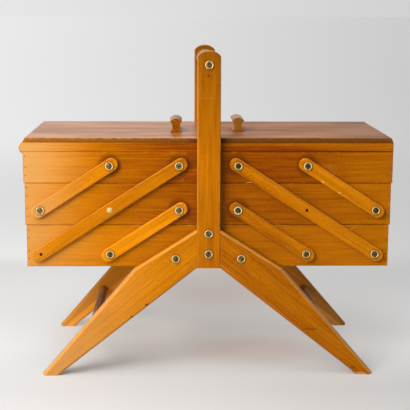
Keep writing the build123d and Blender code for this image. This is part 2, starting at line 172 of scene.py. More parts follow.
def cup_places():
    """(x, z, depth of the wood's face) of the front cups of every node that holds cups."""
    places = {"base_cups": [(x, z, POST_FACE) for x, z in [*POST_SCREWS, *LEG_SCREWS.values()]]}
    for side in SIDES:
        pivots = {name: (*place, ARM_FACE) for name, place in PIVOTS[side].items()}
        if side == "right":
            places["base_cups"].append(pivots["long_bottom"])
        places["base_cups"].append(pivots["lower_bottom"])
        places[f"{side}_middle_tray_cups"] = [pivots["lower_top"], pivots["upper_bottom"]]
        places[f"{side}_top_tray_cups"] = [pivots["long_top"], pivots["upper_top"]]
    return places


# --- Settings ---------------------------------------------------------------
def colour(name, description, default):
    """A colour setting."""
    return FloatVectorProperty(
        name=name, description=description, subtype="COLOR", size=3, min=0, max=1, default=default
    )


def share(name, description, default):
    """A setting from 0 to 1."""
    return FloatProperty(name=name, description=description, subtype="FACTOR", min=0, max=1, default=default)


def length(name, description, default):
    """A setting in metres."""
    return FloatProperty(name=name, description=description, unit="LENGTH", min=0, default=default)


def watts(name, description, default):
    """A lamp's power setting."""
    return FloatProperty(name=name, description=description, unit="POWER", min=0, default=default)


class CarrierWoodSettings(bpy.types.PropertyGroup):
    """Varnished beech of the trays, arms, posts and legs."""

    honey: colour("Honey", "Beech under thin, pale varnish", (0.69, 0.232, 0.0010))
    amber: colour("Amber", "Beech under thick, darkened varnish", (0.185, 0.028, 0.0003))
    # Also the colour of painted shade: in the gaps between boards and the lid, beside the post, and round the
    # arms' ends and the cups.
    seam: colour("Seam", "Old dirt in the joints", (0.13, 0.022, 0.0010))
    # Painted light: the colour of the strongly lit left end, and of the back legs lifted out of the box's
    # shade
    pale: colour("Pale", "Beech bleached by the light at the left end", (0.53, 0.256, 0.072))
    # Also the colour of the painted highlights on the upper edges of the legs and arms and along the posts'
    # edges.
    worn_and_highlight: colour("Worn", "Wood where the varnish has rubbed through", (0.82, 0.42, 0.11))
    # Also the colour of the painted shadow of the post on the lids' sawn edges, and of the darker band beyond
    # the legs' rounded upper edges.
    grime_and_shade: colour("Grime", "Old dirt in joints and round edges", (0.10, 0.025, 0.005))
    roughness: share("Roughness", "Roughness of the varnish", 0.32)
    coat: share("Gloss coat", "Strength of the clear top coat", 0.04)
    ring_pitch: length("Ring pitch", "Distance between two growth rings", 0.0047)


class CarrierLidSettings(bpy.types.PropertyGroup):
    """Reddish plywood of the lids."""

    face: colour("Face veneer", "Polished reddish-brown veneer", (0.66, 0.27, 0.09))
    streak: colour("Streaks", "Darker bands of the veneer", (0.24, 0.08, 0.025))
    edge: colour("Ply edge", "Sawn edge of the plywood", (0.17, 0.050, 0.005))
    left_roughness: share("Left roughness", "Roughness of the left lid's polish", 0.31)
    right_roughness: share("Right roughness", "Roughness of the right lid's duller polish", 0.46)


class CarrierMetalSettings(bpy.types.PropertyGroup):
    """Screw cups, screws and hinges."""

    brass: colour("Brass", "Rubbed brass of the cups and hinges", (1.0, 0.76, 0.32))
    tarnish: colour("Tarnish", "Brown film in the hollows", (0.20, 0.12, 0.04))
    patina: colour("Patina", "Green bloom on the one corroded cup", (0.42, 0.64, 0.44))
    steel: colour("Screw", "Bronzed screw heads", (0.042, 0.020, 0.004))
    wax: colour("Filler", "Dark red-brown wax and rust over pins and nails", (0.12, 0.026, 0.007))
    around: IntProperty(name="Facets", description="Facets round a cup", min=12, max=96, default=32)
    cup_radius: length("Cup radius", "Outer radius of a screw cup", 0.0057)
    cup_height: length("Cup height", "Height of a screw cup's lip", 0.0021)
    nail_radius: length("Nail radius", "Radius of a corner nail's head", 0.0009)


class CarrierStudioSettings(bpy.types.PropertyGroup):
    """Floor, lamps and camera."""

    floor: colour("Floor", "Pale floor", (0.59, 0.583, 0.579))
    # Painted warm shade under the carrier, for its shadow and the wood's bounce light.
    under: colour("Floor under", "Floor under the carrier, warmed by the wood", (0.575, 0.540, 0.510))
    ambient: FloatProperty(name="Ambient", description="Light of the room on every side", min=0, default=0.30)
    key: watts("Key", "Left softbox", 17.0)
    fill: watts("Fill", "Low front-left softbox", 9.8)
    overhead: watts("Overhead", "Softbox above the lids", 7.5)
    lens: FloatProperty(name="Lens", description="Focal length in millimetres", min=1, default=96.85)


# --- Surfaces ---------------------------------------------------------------
# A screw cup, and its dished middle from outside to inside: radius and height of each point.
LIP_SHARE = 0.845                   # middle of a cup's rolled lip, as a share of the cup's radius
ROLL_SHARE = 0.34                   # radius of the roll, as a share of the cup's height
ROLL_START = 0.2 * math.pi          # angle at which the roll leaves the sloping skirt
ROLL_STEPS = 8
SKIRT_LEVEL = 0.0001                # height of the skirt's outer edge
DISH = ((0.0036, 0.0012), (0.0030, 0.0009), (0.0022, 0.0004), (0.0022, 0.0001))
# A nail head from below to above: share of its radius, and height, of each point.
NAIL_HEAD = ((0.0, -0.0002), (1.0, -0.0002), (1.0, 0.00004), (0.6, 0.00010), (0.0, 0.00012))
NAIL_SIDES = 12


def carried_round(radii, heights, around):
    """Points (r_i cos a_j, r_i sin a_j, h_i) of a profile (r_i, h_i), with a_j going once round the axis."""
    angle = np.linspace(0, 2 * math.pi, around, endpoint=False)
    radii, heights = np.asarray(radii), np.asarray(heights)
    x = radii[:, None] * np.cos(angle)
    y = radii[:, None] * np.sin(angle)
    z = np.repeat(heights[:, None], around, axis=1)
    return np.stack([x, y, z], axis=2).reshape(-1, 3)


def turned(radii, heights, around):
    """Points and faces of a turned form.

    Point (i, j) is (r_i cos a_j, r_i sin a_j, h_i), with a_j going once round; the profile starts and
    ends on the axis, where each end is one point with a fan of triangles.
    """
    rings = carried_round(radii[1:-1], heights[1:-1], around)
    ends = np.array([[0, 0, heights[0]], [0, 0, heights[-1]]])
    points = np.concatenate([rings, ends])
    last_ring = len(radii) - 3
    i, j = np.meshgrid(np.arange(last_ring), np.arange(around), indexing="ij")
    here, after = i * around + j, i * around + (j + 1) % around
    quads = np.stack([here, after, after + around, here + around], axis=2).reshape(-1, 4)
    k = np.arange(around)
    first, last = len(rings), len(rings) + 1
    top_row = last_ring * around
    start_fan = np.stack([np.full(around, first), (k + 1) % around, k], axis=1)
    end_fan = np.stack([np.full(around, last), top_row + k, top_row + (k + 1) % around], axis=1)
    return points, quads.tolist() + start_fan.tolist() + end_fan.tolist()


def turned_ring(radii, heights, around):
    """Points and faces of a ring: the closed profile (r_i, h_i) carried once round the axis.

    Point (i, j) is (r_i cos a_j, r_i sin a_j, h_i); i and j both come back to where they began.
    """
    points = carried_round(radii, heights, around)
    count = len(radii)
    i, j = np.meshgrid(np.arange(count), np.arange(around), indexing="ij")
    row, below = (i + 1) % count * around, i * around
    column = (j + 1) % around
    quads = np.stack([below + j, below + column, row + column, row + j], axis=2).reshape(-1, 4)
    return points, quads.tolist()


def screw_cup(metal):
    """A screw cup: a rolled lip between its sloping skirt and its dished middle.

    The lip is the arc (l + k cos a, h - k + k sin a): l is its middle's radius, h the cup's height and k the
    radius of the roll.
    """
    roll = ROLL_SHARE * metal.cup_height
    lip_radius = LIP_SHARE * metal.cup_radius
    angle = np.linspace(ROLL_START, math.pi, ROLL_STEPS)
    lip_r = lip_radius + roll * np.cos(angle)
    lip_h = metal.cup_height - roll + roll * np.sin(angle)
    dish_r, dish_h = np.array(DISH).T
    radii = np.concatenate([[metal.cup_radius], lip_r, dish_r])
    heights = np.concatenate([[SKIRT_LEVEL], lip_h, dish_h])
    return turned_ring(radii, heights, metal.around)


def nail_head(metal):
    """A flat nail head, a little domed and a hair proud of the board."""
    shares, heights = np.array(NAIL_HEAD).T
    return turned(shares * metal.nail_radius, heights, NAIL_SIDES)


def facing(points, x, z, face, depth):
    """Points drawn with +Z outwards, put at (x, z) on the front or the back face at that depth.

    Both faces turn the form rigidly: the front by (x, y, z) -> (x, -z, y), the back by
    (x, y, z) -> (-x, z, y).
    """
    if face == "front":
        return np.stack([x + points[:, 0], -depth - points[:, 2], z + points[:, 1]], axis=1)
    return np.stack([x - points[:, 0], depth + points[:, 2], z + points[:, 1]], axis=1)


def make_piece(name, parts, smooth_angle=35.0):
    """One mesh object from several (points, faces) pairs, shaded smooth but for its sharp edges."""
    points, faces, offset = [], [], 0
    for part_points, part_faces in parts:
        points.append(part_points)
        faces += [[index + offset for index in face] for face in part_faces]
        offset += len(part_points)
    mesh = bpy.data.meshes.new(name)
    mesh.from_pydata(np.concatenate(points).tolist(), [], faces)
    mesh.update()
    mesh.shade_smooth()
    mesh.set_sharp_from_angle(angle=math.radians(smooth_angle))
    piece = bpy.data.objects.new(name, mesh)
    bpy.context.scene.collection.objects.link(piece)
    return piece


# --- Shader building blocks -----------------------------------------------
class Tree:
    """Short way to add and join nodes in one shader tree."""

    def __init__(self, tree):
        self.tree = tree

    def put(self, socket, value):
        """Links a socket, or sets its value."""
        if isinstance(value, bpy.types.NodeSocket):
            self.tree.links.new(value, socket)
        else:
            socket.default_value = value

    def fill(self, node, inputs):
        """Links or sets several inputs of a node, by their names or numbers."""
        for key, value in inputs.items():
            self.put(node.inputs[key], value)

    def add(self, kind, inputs=(), **settings):
        """A node of one kind, with its settings and its inputs by name or number."""
        node = self.tree.nodes.new(kind)
        for key, value in settings.items():
            setattr(node, key, value)
        self.fill(node, dict(inputs))
        return node

    def math(self, operation, *values, clamp=False):
        """A Math node's value."""
        node = self.add("ShaderNodeMath", enumerate(values), operation=operation, use_clamp=clamp)
        return node.outputs[0]

    def vector(self, operation, *values):
        """A Vector Math node's vector."""
        return self.add("ShaderNodeVectorMath", enumerate(values), operation=operation).outputs[0]

    def distance(self, first, second):
        """How far two parts lead from nothing: the root of the sum of their squares."""
        squares = [self.math("MULTIPLY", part, part) for part in (first, second)]
        return self.math("SQRT", self.math("ADD", *squares))

    def weighted(self, first, first_share, second, second_share):
        """The sum of two values, each times its share."""
        parts = [self.math("MULTIPLY", *pair) for pair in ((first, first_share), (second, second_share))]
        return self.math("ADD", *parts)

    def map_range(self, easing, value, low, high, to_low, to_high):
        """A value's range carried to another range."""
        inputs = {"Value": value, 1: low, 2: high, 3: to_low, 4: to_high}
        return self.add("ShaderNodeMapRange", inputs, interpolation_type=easing).outputs[0]

    def span(self, value, low, high, to_low=0.0, to_high=1.0):
        """A value's range carried smoothly to another range."""
        return self.map_range("SMOOTHSTEP", value, low, high, to_low, to_high)

    def ramp(self, value, low, high, to_low, to_high):
        """A value's range carried evenly to another range."""
        return self.map_range("LINEAR", value, low, high, to_low, to_high)

    def noise(self, vector, scale, detail=2.0, roughness=0.5):
        """A noise texture's value."""
        inputs = {"Vector": vector, "Scale": scale, "Detail": detail, "Roughness": roughness}
        return self.add("ShaderNodeTexNoise", inputs).outputs[0]

    def stretched(self, place, scales, detail, roughness=0.5):
        """A noise texture's value, with its own scale along each of the three axes."""
        return self.noise(self.vector("MULTIPLY", place, scales), 1.0, detail, roughness)

    def cells(self, vector, scale):
        """How far the nearest cell of a Voronoi texture is."""
        return self.add("ShaderNodeTexVoronoi", {"Vector": vector, "Scale": scale}).outputs["Distance"]

    def bump(self, strength, distance, height):
        """A Bump node's normal."""
        inputs = {"Strength": strength, "Distance": distance, "Height": height}
        return self.add("ShaderNodeBump", inputs).outputs[0]

    def blend(self, factor, first, second):
        """Two numbers mixed."""
        return self.add("ShaderNodeMix", {0: factor, 2: first, 3: second}).outputs[0]

    def mix(self, factor, first, second, blend="MIX"):
        """Two colours mixed."""
        inputs = {0: factor, 6: first, 7: second}
        return self.add("ShaderNodeMix", inputs, data_type="RGBA", blend_type=blend).outputs[2]

    def toned(self, shade, tone):
        """A colour times a brightness."""
        return self.mix(1.0, shade, self.join(tone, tone, tone), "MULTIPLY")

    def split(self, vector):
        """The three parts of a vector."""
        return self.add("ShaderNodeSeparateXYZ", {0: vector}).outputs

    def join(self, x, y, z):
        """A vector from three parts."""
        return self.add("ShaderNodeCombineXYZ", {0: x, 1: y, 2: z}).outputs[0]


def new_group(name, inputs, outputs):
    """An empty shader node group with named sockets; returns its tree helper, inputs and output node."""
    group = bpy.data.node_groups.new(name, "ShaderNodeTree")
    for label, kind, default in inputs:
        socket = group.interface.new_socket(label, in_out="INPUT", socket_type=kind)
        if default is not None:
            socket.default_value = default
    for label, kind in outputs:
        group.interface.new_socket(label, in_out="OUTPUT", socket_type=kind)
    tree = Tree(group)
    return tree, tree.add("NodeGroupInput").outputs, tree.add("NodeGroupOutput").inputs


FLOAT = "NodeSocketFloat"
VECTOR = "NodeSocketVector"


def group_named(name, build):
    """The shared node group of that name, built once."""
    if name not in bpy.data.node_groups:
        build(name)
    return bpy.data.node_groups[name]


def build_timber(name):
    """Wood with its grain along X: rings, streaks, fibres, ray flecks, slow clouds and pores.

    A growth ring is where the distance from the pith, moved about by two noises, passes a whole number of
    ring pitches. Pith Depth is how far beside the carrier's middle the pith runs, and Seed takes another part
    of the log.
    """
    t, given, out = new_group(
        name,
        [
            ("Vector", VECTOR, None),
            ("Seed", FLOAT, 0.0),
            ("Ring Pitch", FLOAT, 0.005),
            ("Pith Depth", FLOAT, 0.05),
        ],
        [(label, FLOAT) for label in ("Rings", "Streaks", "Fibres", "Flecks", "Clouds", "Pores")],
    )
    shift = t.join(*(t.math("MULTIPLY", given["Seed"], step) for step in (0.731, 0.193, 0.417)))
    place = t.vector("ADD", given["Vector"], shift)
    slow = t.stretched(place, (2.2, 11.0, 11.0), 2.0)
    fast = t.stretched(place, (9.0, 60.0, 60.0), 3.0)
    wander = t.weighted(slow, 0.034, fast, 0.007)
    _, y, z = t.split(given["Vector"])
    y = t.math("ADD", y, given["Pith Depth"])
    z = t.math("ADD", z, t.math("MULTIPLY", t.math("SINE", given["Seed"]), 0.03))
    radius = t.math("ADD", t.distance(y, z), wander)
    wave = t.math("FRACT", t.math("DIVIDE", radius, given["Ring Pitch"]))
    rise = t.span(wave, 0.10, 0.85)
    fall = t.span(wave, 0.85, 1.0, 1.0, 0.0)
    t.put(out["Rings"], t.math("MULTIPLY", rise, fall))
    t.put(out["Streaks"], t.span(t.stretched(place, (4.0, 130.0, 130.0), 5.0, 0.68), 0.36, 0.66))
    t.put(out["Fibres"], t.span(t.stretched(place, (18.0, 560.0, 560.0), 3.0, 0.65), 0.32, 0.68))
    dashes = t.cells(t.vector("MULTIPLY", place, (300.0, 900.0, 900.0)), 1.0)
    t.put(out["Flecks"], t.span(dashes, 0.12, 0.40, 1.0, 0.0))
    t.put(out["Clouds"], t.stretched(place, (9.0, 30.0, 30.0), 4.0, 0.6))
    t.put(out["Pores"], t.span(t.stretched(place, (95.0, 2100.0, 2100.0), 1.0), 0.62, 0.74))


def build_arris(name):
    """Mask near the long edges of a block: two of the three distances to its faces are small there."""
    t, given, out = new_group(
        name,
        [("Vector", VECTOR, None), ("Centre", VECTOR, None), ("Half", VECTOR, None), ("Width", FLOAT, 0.001)],
        [("Edge", FLOAT), ("Rub", FLOAT)],
    )
    from_centre = t.vector("ABSOLUTE", t.vector("SUBTRACT", given["Vector"], given["Centre"]))
    x, y, z = t.split(t.vector("SUBTRACT", given["Half"], from_centre))
    low = t.math("MINIMUM", x, y)
    high = t.math("MAXIMUM", x, y)
    second = t.math("MAXIMUM", low, t.math("MINIMUM", high, z))
    t.put(out["Edge"], t.span(second, 0.0, given["Width"], 1.0, 0.0))
    patches = t.noise(given["Vector"], 90.0, 4.0, 0.6)
    wide = t.span(second, 0.0, t.math("MULTIPLY", given["Width"], 2.0), 1.0, 0.0)
    t.put(out["Rub"], t.math("MULTIPLY", wide, t.span(patches, 0.52, 0.66)))


def build_scuffs(name):
    """Fine scratches and pinhead dents.

    The scratches are thin level lines of two turned, stretched noises, where a third noise allows them.
    """
    sockets = [("Vector", VECTOR, None), ("Seed", FLOAT, 0.0)]
    t, given, out = new_group(name, sockets, [("Scratches", FLOAT), ("Dents", FLOAT)])
    place = t.vector("ADD", given["Vector"], t.join(given["Seed"], given["Seed"], 0.0))
    lines = []
    for turn in (0.5, -0.9):
        turned_place = t.add("ShaderNodeMapping", {"Vector": place, "Rotation": (0.0, turn, 0.0)}).outputs[0]
        level = t.stretched(turned_place, (12.0, 60.0, 150.0), 1.0)
        off = t.math("ABSOLUTE", t.math("SUBTRACT", level, 0.5))
        lines.append(t.span(off, 0.0015, 0.005, 1.0, 0.0))
    allowed = t.span(t.noise(place, 24.0, 2.0), 0.60, 0.68)
    t.put(out["Scratches"], t.math("MULTIPLY", t.math("MAXIMUM", *lines), allowed))
    t.put(out["Dents"], t.span(t.cells(place, 55.0), 0.03, 0.06, 1.0, 0.0))


def new_material(name):
    """A material with an empty tree but for its Principled shader, and its object coordinates."""
    material = bpy.data.materials.new(name)
    material.use_nodes = True
    tree = Tree(material.node_tree)
    place = tree.add("ShaderNodeTexCoord").outputs["Object"]
    return material, tree, material.node_tree.nodes["Principled BSDF"], place


def rgba(value, factor=1.0):
    """A setting's colour with alpha, made lighter or darker by a factor."""
    return (*[min(1.0, part * factor) for part in value], 1.0)


def timber_grain(tree, place, turn, seed, **sizes):
    """The grain masks of wood turned by three angles, with a ring_pitch and a pith_depth of its own."""
    inputs = {name.replace("_", " ").title(): value for name, value in sizes.items()}
    inputs["Vector"] = tree.add("ShaderNodeMapping", {"Vector": place, "Rotation": turn}).outputs[0]
    inputs["Seed"] = seed
    return tree.add("ShaderNodeGroup", inputs, node_tree=group_named("timber", build_timber)).outputs


def scuff_masks(tree, place, seed):
    """The masks of fine scratches and pinhead dents."""
    inputs = {"Vector": place, "Seed": seed}
    return tree.add("ShaderNodeGroup", inputs, node_tree=group_named("scuffs", build_scuffs)).outputs


def wear_of(tree, place, node, width):
    """Edge and rub masks of the block that a CAD node fills."""
    low, high = (np.array(corner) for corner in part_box(node))
    inputs = {"Vector": place, "Centre": tuple((low + high) / 2), "Half": tuple((high - low) / 2)}
    inputs["Width"] = width
    return tree.add("ShaderNodeGroup", inputs, node_tree=group_named("arris", build_arris)).outputs


def along_box(tree, place, node, axis, first, middle, last):
    """A value that goes evenly from one end of a node's box to its middle, and on to its other end."""
    low, high = (corner[axis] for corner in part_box(node))
    centre = (low + high) / 2
    run = tree.split(place)[axis]
    near_half = tree.ramp(run, low, centre, first, middle)
    return tree.math("ADD", near_half, tree.ramp(run, centre, high, 0.0, last - middle))


def outer_mask(tree, place, node):
    """Mask of a node's outermost skin at the front and the back."""
    low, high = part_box(node)
    face = max(abs(low.y), abs(high.y))
    return tree.math("GREATER_THAN", tree.math("ABSOLUTE", tree.split(place)[1]), face - OUTER_SKIN)


def near_mask(tree, place, spot, radius):
    """Mask of what lies within a radius of a place (x, z) on a face."""
    x, _, z = tree.split(tree.vector("SUBTRACT", place, (spot[0], 0.0, spot[1])))
    return tree.math("LESS_THAN", tree.distance(x, z), radius)


def spot_mask(tree, place, x_place, z_place, across, up, strength):
    """Mask of an oval spot on a face: strength in its core, falling to nothing at its rim."""
    shifted = tree.vector("SUBTRACT", place, (x_place, 0.0, z_place))
    x, _, z = tree.split(tree.vector("DIVIDE", shifted, (across, 1.0, up)))
    return tree.span(tree.distance(x, z), SPOT_CORE, 1.0, strength, 0.0)


def spotted(tree, place, shade, spots, where, tint):
    """A colour with oval spots of a tint, where a mask lets them show."""
    for spot in spots:
        shade = tree.mix(tree.math("MULTIPLY", spot_mask(tree, place, *spot), where), shade, tint)
    return shade


def ridge_masks(tree, place, face, level, slope, width, strength, darkening):
    """Masks of a sloping piece's upper edge: its rounding behind the outer face, and what lies beyond that.

    The upper edge is where z + slope |x| passes the level; the rounding is as wide as width. strength is that
    of the painted highlight on the rounding, and darkening that of the darker band beyond it.
    """
    x, y, z = tree.split(place)
    back = tree.math("SUBTRACT", face, tree.math("ABSOLUTE", y))
    height = tree.math("ADD", z, tree.math("MULTIPLY", tree.math("ABSOLUTE", x), slope))
    above = tree.math("GREATER_THAN", height, level)
    begun = tree.span(back, 0.0, RIDGE_START * width)
    not_ended = tree.span(back, RIDGE_END * width, width, 1.0, 0.0)
    beyond = tree.span(back, RIDGE_END * width, width, 0.0, darkening)
    # The painted highlight on the rounding.
    rubbed = tree.math("MULTIPLY", tree.math("MULTIPLY", begun, not_ended), above)
    return tree.math("MULTIPLY", rubbed, strength), tree.math("MULTIPLY", beyond, above)


# --- Finishes -----------------------------------------------------------------
ALONG_X = (0.0, 0.0, 0.0)
ALONG_Y = (0.0, 0.0, -math.pi / 2)
ALONG_Z = (0.0, math.pi / 2, 0.0)
LYING = (math.pi / 2, 0.0, 0.0)     # grain along X, with the rings cut by a level face
EVEN = (1.0, 1.0, 1.0)
LID_RUN = (0.02, 0.25)              # x of a lid's edge beside the post and of its outer end
POST_SHADOW_ON_LID = (0.018, 0.034)          # x where the painted shadow of the post on a lid's edge is darkest, and where that ends
LID_END = (0.003, 0.008)            # how far from a lid's outer end its end grain shows, and where that ends
LID_PLIES = 1.5                     # bands of plies in a lid's thickness
BARE_ARRIS = (0.0019, 0.0009)       # how far below a lid's top its rubbed arris starts and is wholly bare
FACE_SKIN = 0.00015                 # how far in from its front and back a lid's sawn edges reach
CUP_HOLLOW = (0.0008, 0.0017)       # height over the wood where the brown film in a cup is full, and ends
BLOOM_REACH = 1.5                   # how far the green crust reaches from a cup's middle, in radii of the cup
VARNISH_SHEEN = (1.0, 0.50, 0.06, 1.0)
POLISH_SHEEN = (1.0, 0.55, 0.20, 1.0)
STAIN_SHEEN = (1.0, 0.50, 0.15, 1.0)
BRONZE_SHEEN = (1.0, 0.50, 0.12, 1.0)


def beech(
    name,
    turn,
    seed,
    ages,
    node,
    along="x",
    flecks=0.22,
    streaks=1.0,
    pith=0.06,
    joint=0.0,
    arris=0.0,
    rub=0.0,
    bleach=None,
    halos=(),
    ridge=None,
    rings=0.06,
    tones=EVEN,
    cups=(),
):
    """Varnished beech, with its grain turned by three angles.

    ages gives how dark the varnish is at one end, in the middle and at the other end of the node's box: 0 is
    honey, 1 is amber. Rings, streaks, fibres, flecks and clouds move it up and down round that, and tones is
    how bright the colour is at the same three places. joint is the strength of the dark line along the edges
    that meet other boards, old dirt and painted shade in the gaps, arris that of a pale line there instead,
    wear and a painted highlight, and rub that of pale, rubbed patches. bleach gives the x at which the
    wood wholly takes the painted light of a well-lit end and the x at which it no longer does. halos are
    places (x, z) with painted shade and dirt round them, where an arm's end turns, and cups those of screw
    cups, each with a thin ring of painted shade and dirt. ridge is the round upper edge of a sloping piece,
    with a painted highlight on it and a darker band beyond it. The node's own dents, nicks and painted
    shadows are in DENTS_AND_SHADOWS and NICKS.
    """
    wood = bpy.context.scene.carrier_wood
    material, t, shader, place = new_material(name)
    grain = timber_grain(t, place, turn, seed, ring_pitch=wood.ring_pitch, pith_depth=pith)
    scuffs = scuff_masks(t, place, seed)
    axis = "xyz".index(along)
    age = along_box(t, place, node, axis, *ages)
    swings = {
        "Rings": rings,
        "Streaks": STREAK_SWING * streaks,
        "Fibres": FIBRE_SWING,
        "Clouds": CLOUD_SWING * streaks,
    }
    for label, weight in swings.items():
        swing = t.math("MULTIPLY", t.math("SUBTRACT", grain[label], 0.5), weight)
        age = t.math("ADD", age, swing)
    age = t.math("ADD", age, t.math("MULTIPLY", grain["Flecks"], flecks), clamp=True)
    shade = t.mix(age, rgba(wood.honey), rgba(wood.amber))
    # Painted light: towards the left end the colour turns to the pale tone of well-lit wood
    if bleach is not None:
        fading = t.span(t.split(place)[0], *bleach, 1.0, 0.0)
        cloudy = t.span(grain["Clouds"], 0.25, 0.75, 1.25, 0.90)
        patchy = t.math("SUBTRACT", cloudy, t.math("MULTIPLY", grain["Streaks"], 0.22))
        shade = t.mix(t.math("MULTIPLY", fading, patchy, clamp=True), shade, rgba(wood.pale))
    if tones != EVEN:
        shade = t.toned(shade, along_box(t, place, node, axis, *tones))
    # Spots of painted shade and dirt round the arms' ends and the cups, and the node's dents and painted
    # shadows.
    dirt_and_shade_spots = [(*spot, HALO_RADIUS, HALO_RADIUS, HALO_STRENGTH) for spot in halos]
    dirt_and_shade_spots += [(*spot, CUP_SHADE_AND_DIRT_RADIUS, CUP_SHADE_AND_DIRT_RADIUS, CUP_SHADE_AND_DIRT_STRENGTH) for spot in cups]
    outer = outer_mask(t, place, node)
    shade = spotted(t, place, shade, dirt_and_shade_spots + DENTS_AND_SHADOWS.get(node, []), outer, rgba(wood.seam))
    # A painted highlight on the rounded upper edge, and a darker band beyond it.
    if ridge is not None:
        rubbed, beyond = ridge_masks(t, place, *ridge)
        shade = t.mix(rubbed, shade, rgba(wood.worn_and_highlight))
        shade = t.mix(beyond, shade, rgba(wood.grime_and_shade))
    shade = spotted(t, place, shade, NICKS.get(node, []), outer, rgba(wood.worn_and_highlight))
    shade = t.mix(t.math("MULTIPLY", scuffs["Scratches"], 0.30), shade, rgba(wood.worn_and_highlight))
    shade = t.mix(t.math("MULTIPLY", scuffs["Dents"], 0.5), shade, rgba(wood.grime_and_shade))
    wear = wear_of(t, place, node, BEECH_WEAR)
    # Dark edges: old dirt, and painted shade in the gaps between boards. Light edges: wear and a painted
    # highlight.
    shade = t.mix(t.math("MULTIPLY", wear["Edge"], joint), shade, rgba(wood.seam))
    shade = t.mix(t.math("MULTIPLY", wear["Edge"], arris), shade, rgba(wood.worn_and_highlight))
    shade = t.mix(t.math("MULTIPLY", wear["Rub"], rub), shade, rgba(wood.honey))
    polish = t.math("ADD", wood.roughness - 0.06, t.math("MULTIPLY", grain["Clouds"], 0.12))
    height = t.math("SUBTRACT", t.math("MULTIPLY", grain["Fibres"], -0.25), scuffs["Dents"])
    look = {
        "Base Color": shade,
        "Roughness": t.math("ADD", polish, t.math("MULTIPLY", scuffs["Scratches"], 0.2)),
        "Specular IOR Level": 0.5,
        "Specular Tint": VARNISH_SHEEN,
        "Coat Weight": wood.coat,
        "Coat Roughness": 0.22,
        "Normal": t.bump(0.25, 0.0004, height),
    }
    t.fill(shader, look)
    return material


def lid_veneer(name, node, seed, polish, face, edge, rubbed):
    """Polished reddish ply: streaked face veneer, and plies on the sawn edges.

    face and edge say how bright the face and the sawn edges are near the post and at the outer end, and
    rubbed how strongly the polish is rubbed off the upper arris.
    """
    lid = bpy.context.scene.carrier_lid
    wood = bpy.context.scene.carrier_wood
    material, t, shader, place = new_material(name)
    grain = timber_grain(t, place, LYING, seed, ring_pitch=0.016, pith_depth=0.12)
    darkness = t.weighted(grain["Rings"], 0.28, grain["Fibres"], 0.50)
    darkness = t.math("ADD", darkness, t.span(grain["Clouds"], 0.30, 0.75, 0.0, 0.4))
    veneer = t.mix(darkness, rgba(lid.face), rgba(lid.streak))
    veneer = t.mix(t.math("MULTIPLY", grain["Pores"], 0.4), veneer, rgba(lid.streak, 0.5))
    wear = wear_of(t, place, node, VENEER_WEAR)
    veneer = t.mix(t.math("MULTIPLY", wear["Rub"], 0.7), veneer, rgba(wood.worn_and_highlight))
    low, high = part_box(node)
    x, y, z = t.split(place)
    out_from_post = t.math("ABSOLUTE", x)
    plies = t.math("FRACT", t.math("DIVIDE", t.math("SUBTRACT", z, low.z), (high.z - low.z) / LID_PLIES))
    ply = t.mix(t.span(plies, 0.25, 0.75), rgba(lid.edge, 0.7), rgba(lid.edge, 1.3))
    grit = t.stretched(place, (400.0, 400.0, 900.0), 3.0)
    ply = t.mix(t.span(grit, 0.35, 0.75, 0.0, 0.35), ply, rgba(wood.honey, 0.8))
    to_end = t.math("SUBTRACT", max(-low.x, high.x), out_from_post)
    ply = t.mix(t.span(to_end, *LID_END, 0.3, 0.0), ply, rgba(wood.honey, 0.5))
    veneer = t.toned(veneer, t.ramp(out_from_post, *LID_RUN, *face))
    ply = t.toned(ply, t.ramp(out_from_post, *LID_RUN, *edge))
    # Painted shadow of the post on the sawn edges beside it.
    ply = t.mix(t.span(out_from_post, *POST_SHADOW_ON_LID, 0.70, 0.0), ply, rgba(wood.grime_and_shade, 0.5))
    bare = t.span(t.stretched(place, (150.0, 150.0, 60.0), 3.0), 0.40, 0.62, 0.25, 1.0)
    arris = [high.z - depth for depth in BARE_ARRIS]
    bare = t.math("MULTIPLY", bare, t.span(z, *arris, 0.0, rubbed))
    ply = t.mix(bare, ply, rgba(wood.worn_and_highlight))
    past_face = t.math("GREATER_THAN", t.math("ABSOLUTE", y), high.y - FACE_SKIN)
    height = t.math("SUBTRACT", t.math("MULTIPLY", grain["Fibres"], 0.3), grain["Pores"])
    look = {
        "Base Color": t.mix(past_face, veneer, ply),
        "Roughness": t.span(grain["Clouds"], 0.2, 0.8, polish - 0.04, polish + 0.08),
        "Specular Tint": POLISH_SHEEN,
        "Normal": t.bump(0.15, 0.0003, height),
    }
    t.fill(shader, look)
    return material


def bare_ply(name, seed):
    """Unvarnished birch ply of the tray floors."""
    material, t, shader, place = new_material(name)
    grain = timber_grain(t, place, LYING, seed, ring_pitch=0.014)
    darkness = t.weighted(grain["Rings"], 0.4, grain["Fibres"], 0.3)
    darkness = t.math("ADD", darkness, t.span(grain["Clouds"], 0.3, 0.8, 0.0, 0.3))
    shade = t.mix(darkness, (0.66, 0.47, 0.26, 1.0), (0.44, 0.27, 0.12, 1.0))
    look = {
        "Base Color": t.mix(t.math("MULTIPLY", grain["Flecks"], 0.2), shade, (0.33, 0.19, 0.08, 1.0)),
        "Roughness": t.span(grain["Clouds"], 0.2, 0.8, 0.62, 0.76),
        "Normal": t.bump(0.2, 0.0003, grain["Fibres"]),
    }
    t.fill(shader, look)
    return material


def dark_dowel(name):
    """Dark stained dowel, rubbed paler in patches."""
    material, t, shader, place = new_material(name)
    grain = timber_grain(t, place, ALONG_Y, 5.0)
    shade = t.mix(grain["Fibres"], (0.45, 0.155, 0.024, 1.0), (0.18, 0.060, 0.008, 1.0))
    look = {
        "Base Color": t.mix(t.span(grain["Clouds"], 0.45, 0.75, 0.0, 0.7), shade, (0.60, 0.26, 0.05, 1.0)),
        "Roughness": t.span(grain["Clouds"], 0.2, 0.8, 0.5, 0.65),
        "Specular IOR Level": 0.20,
        "Specular Tint": STAIN_SHEEN,
        "Normal": t.bump(0.3, 0.0003, grain["Fibres"]),
    }
    t.fill(shader, look)
    return material


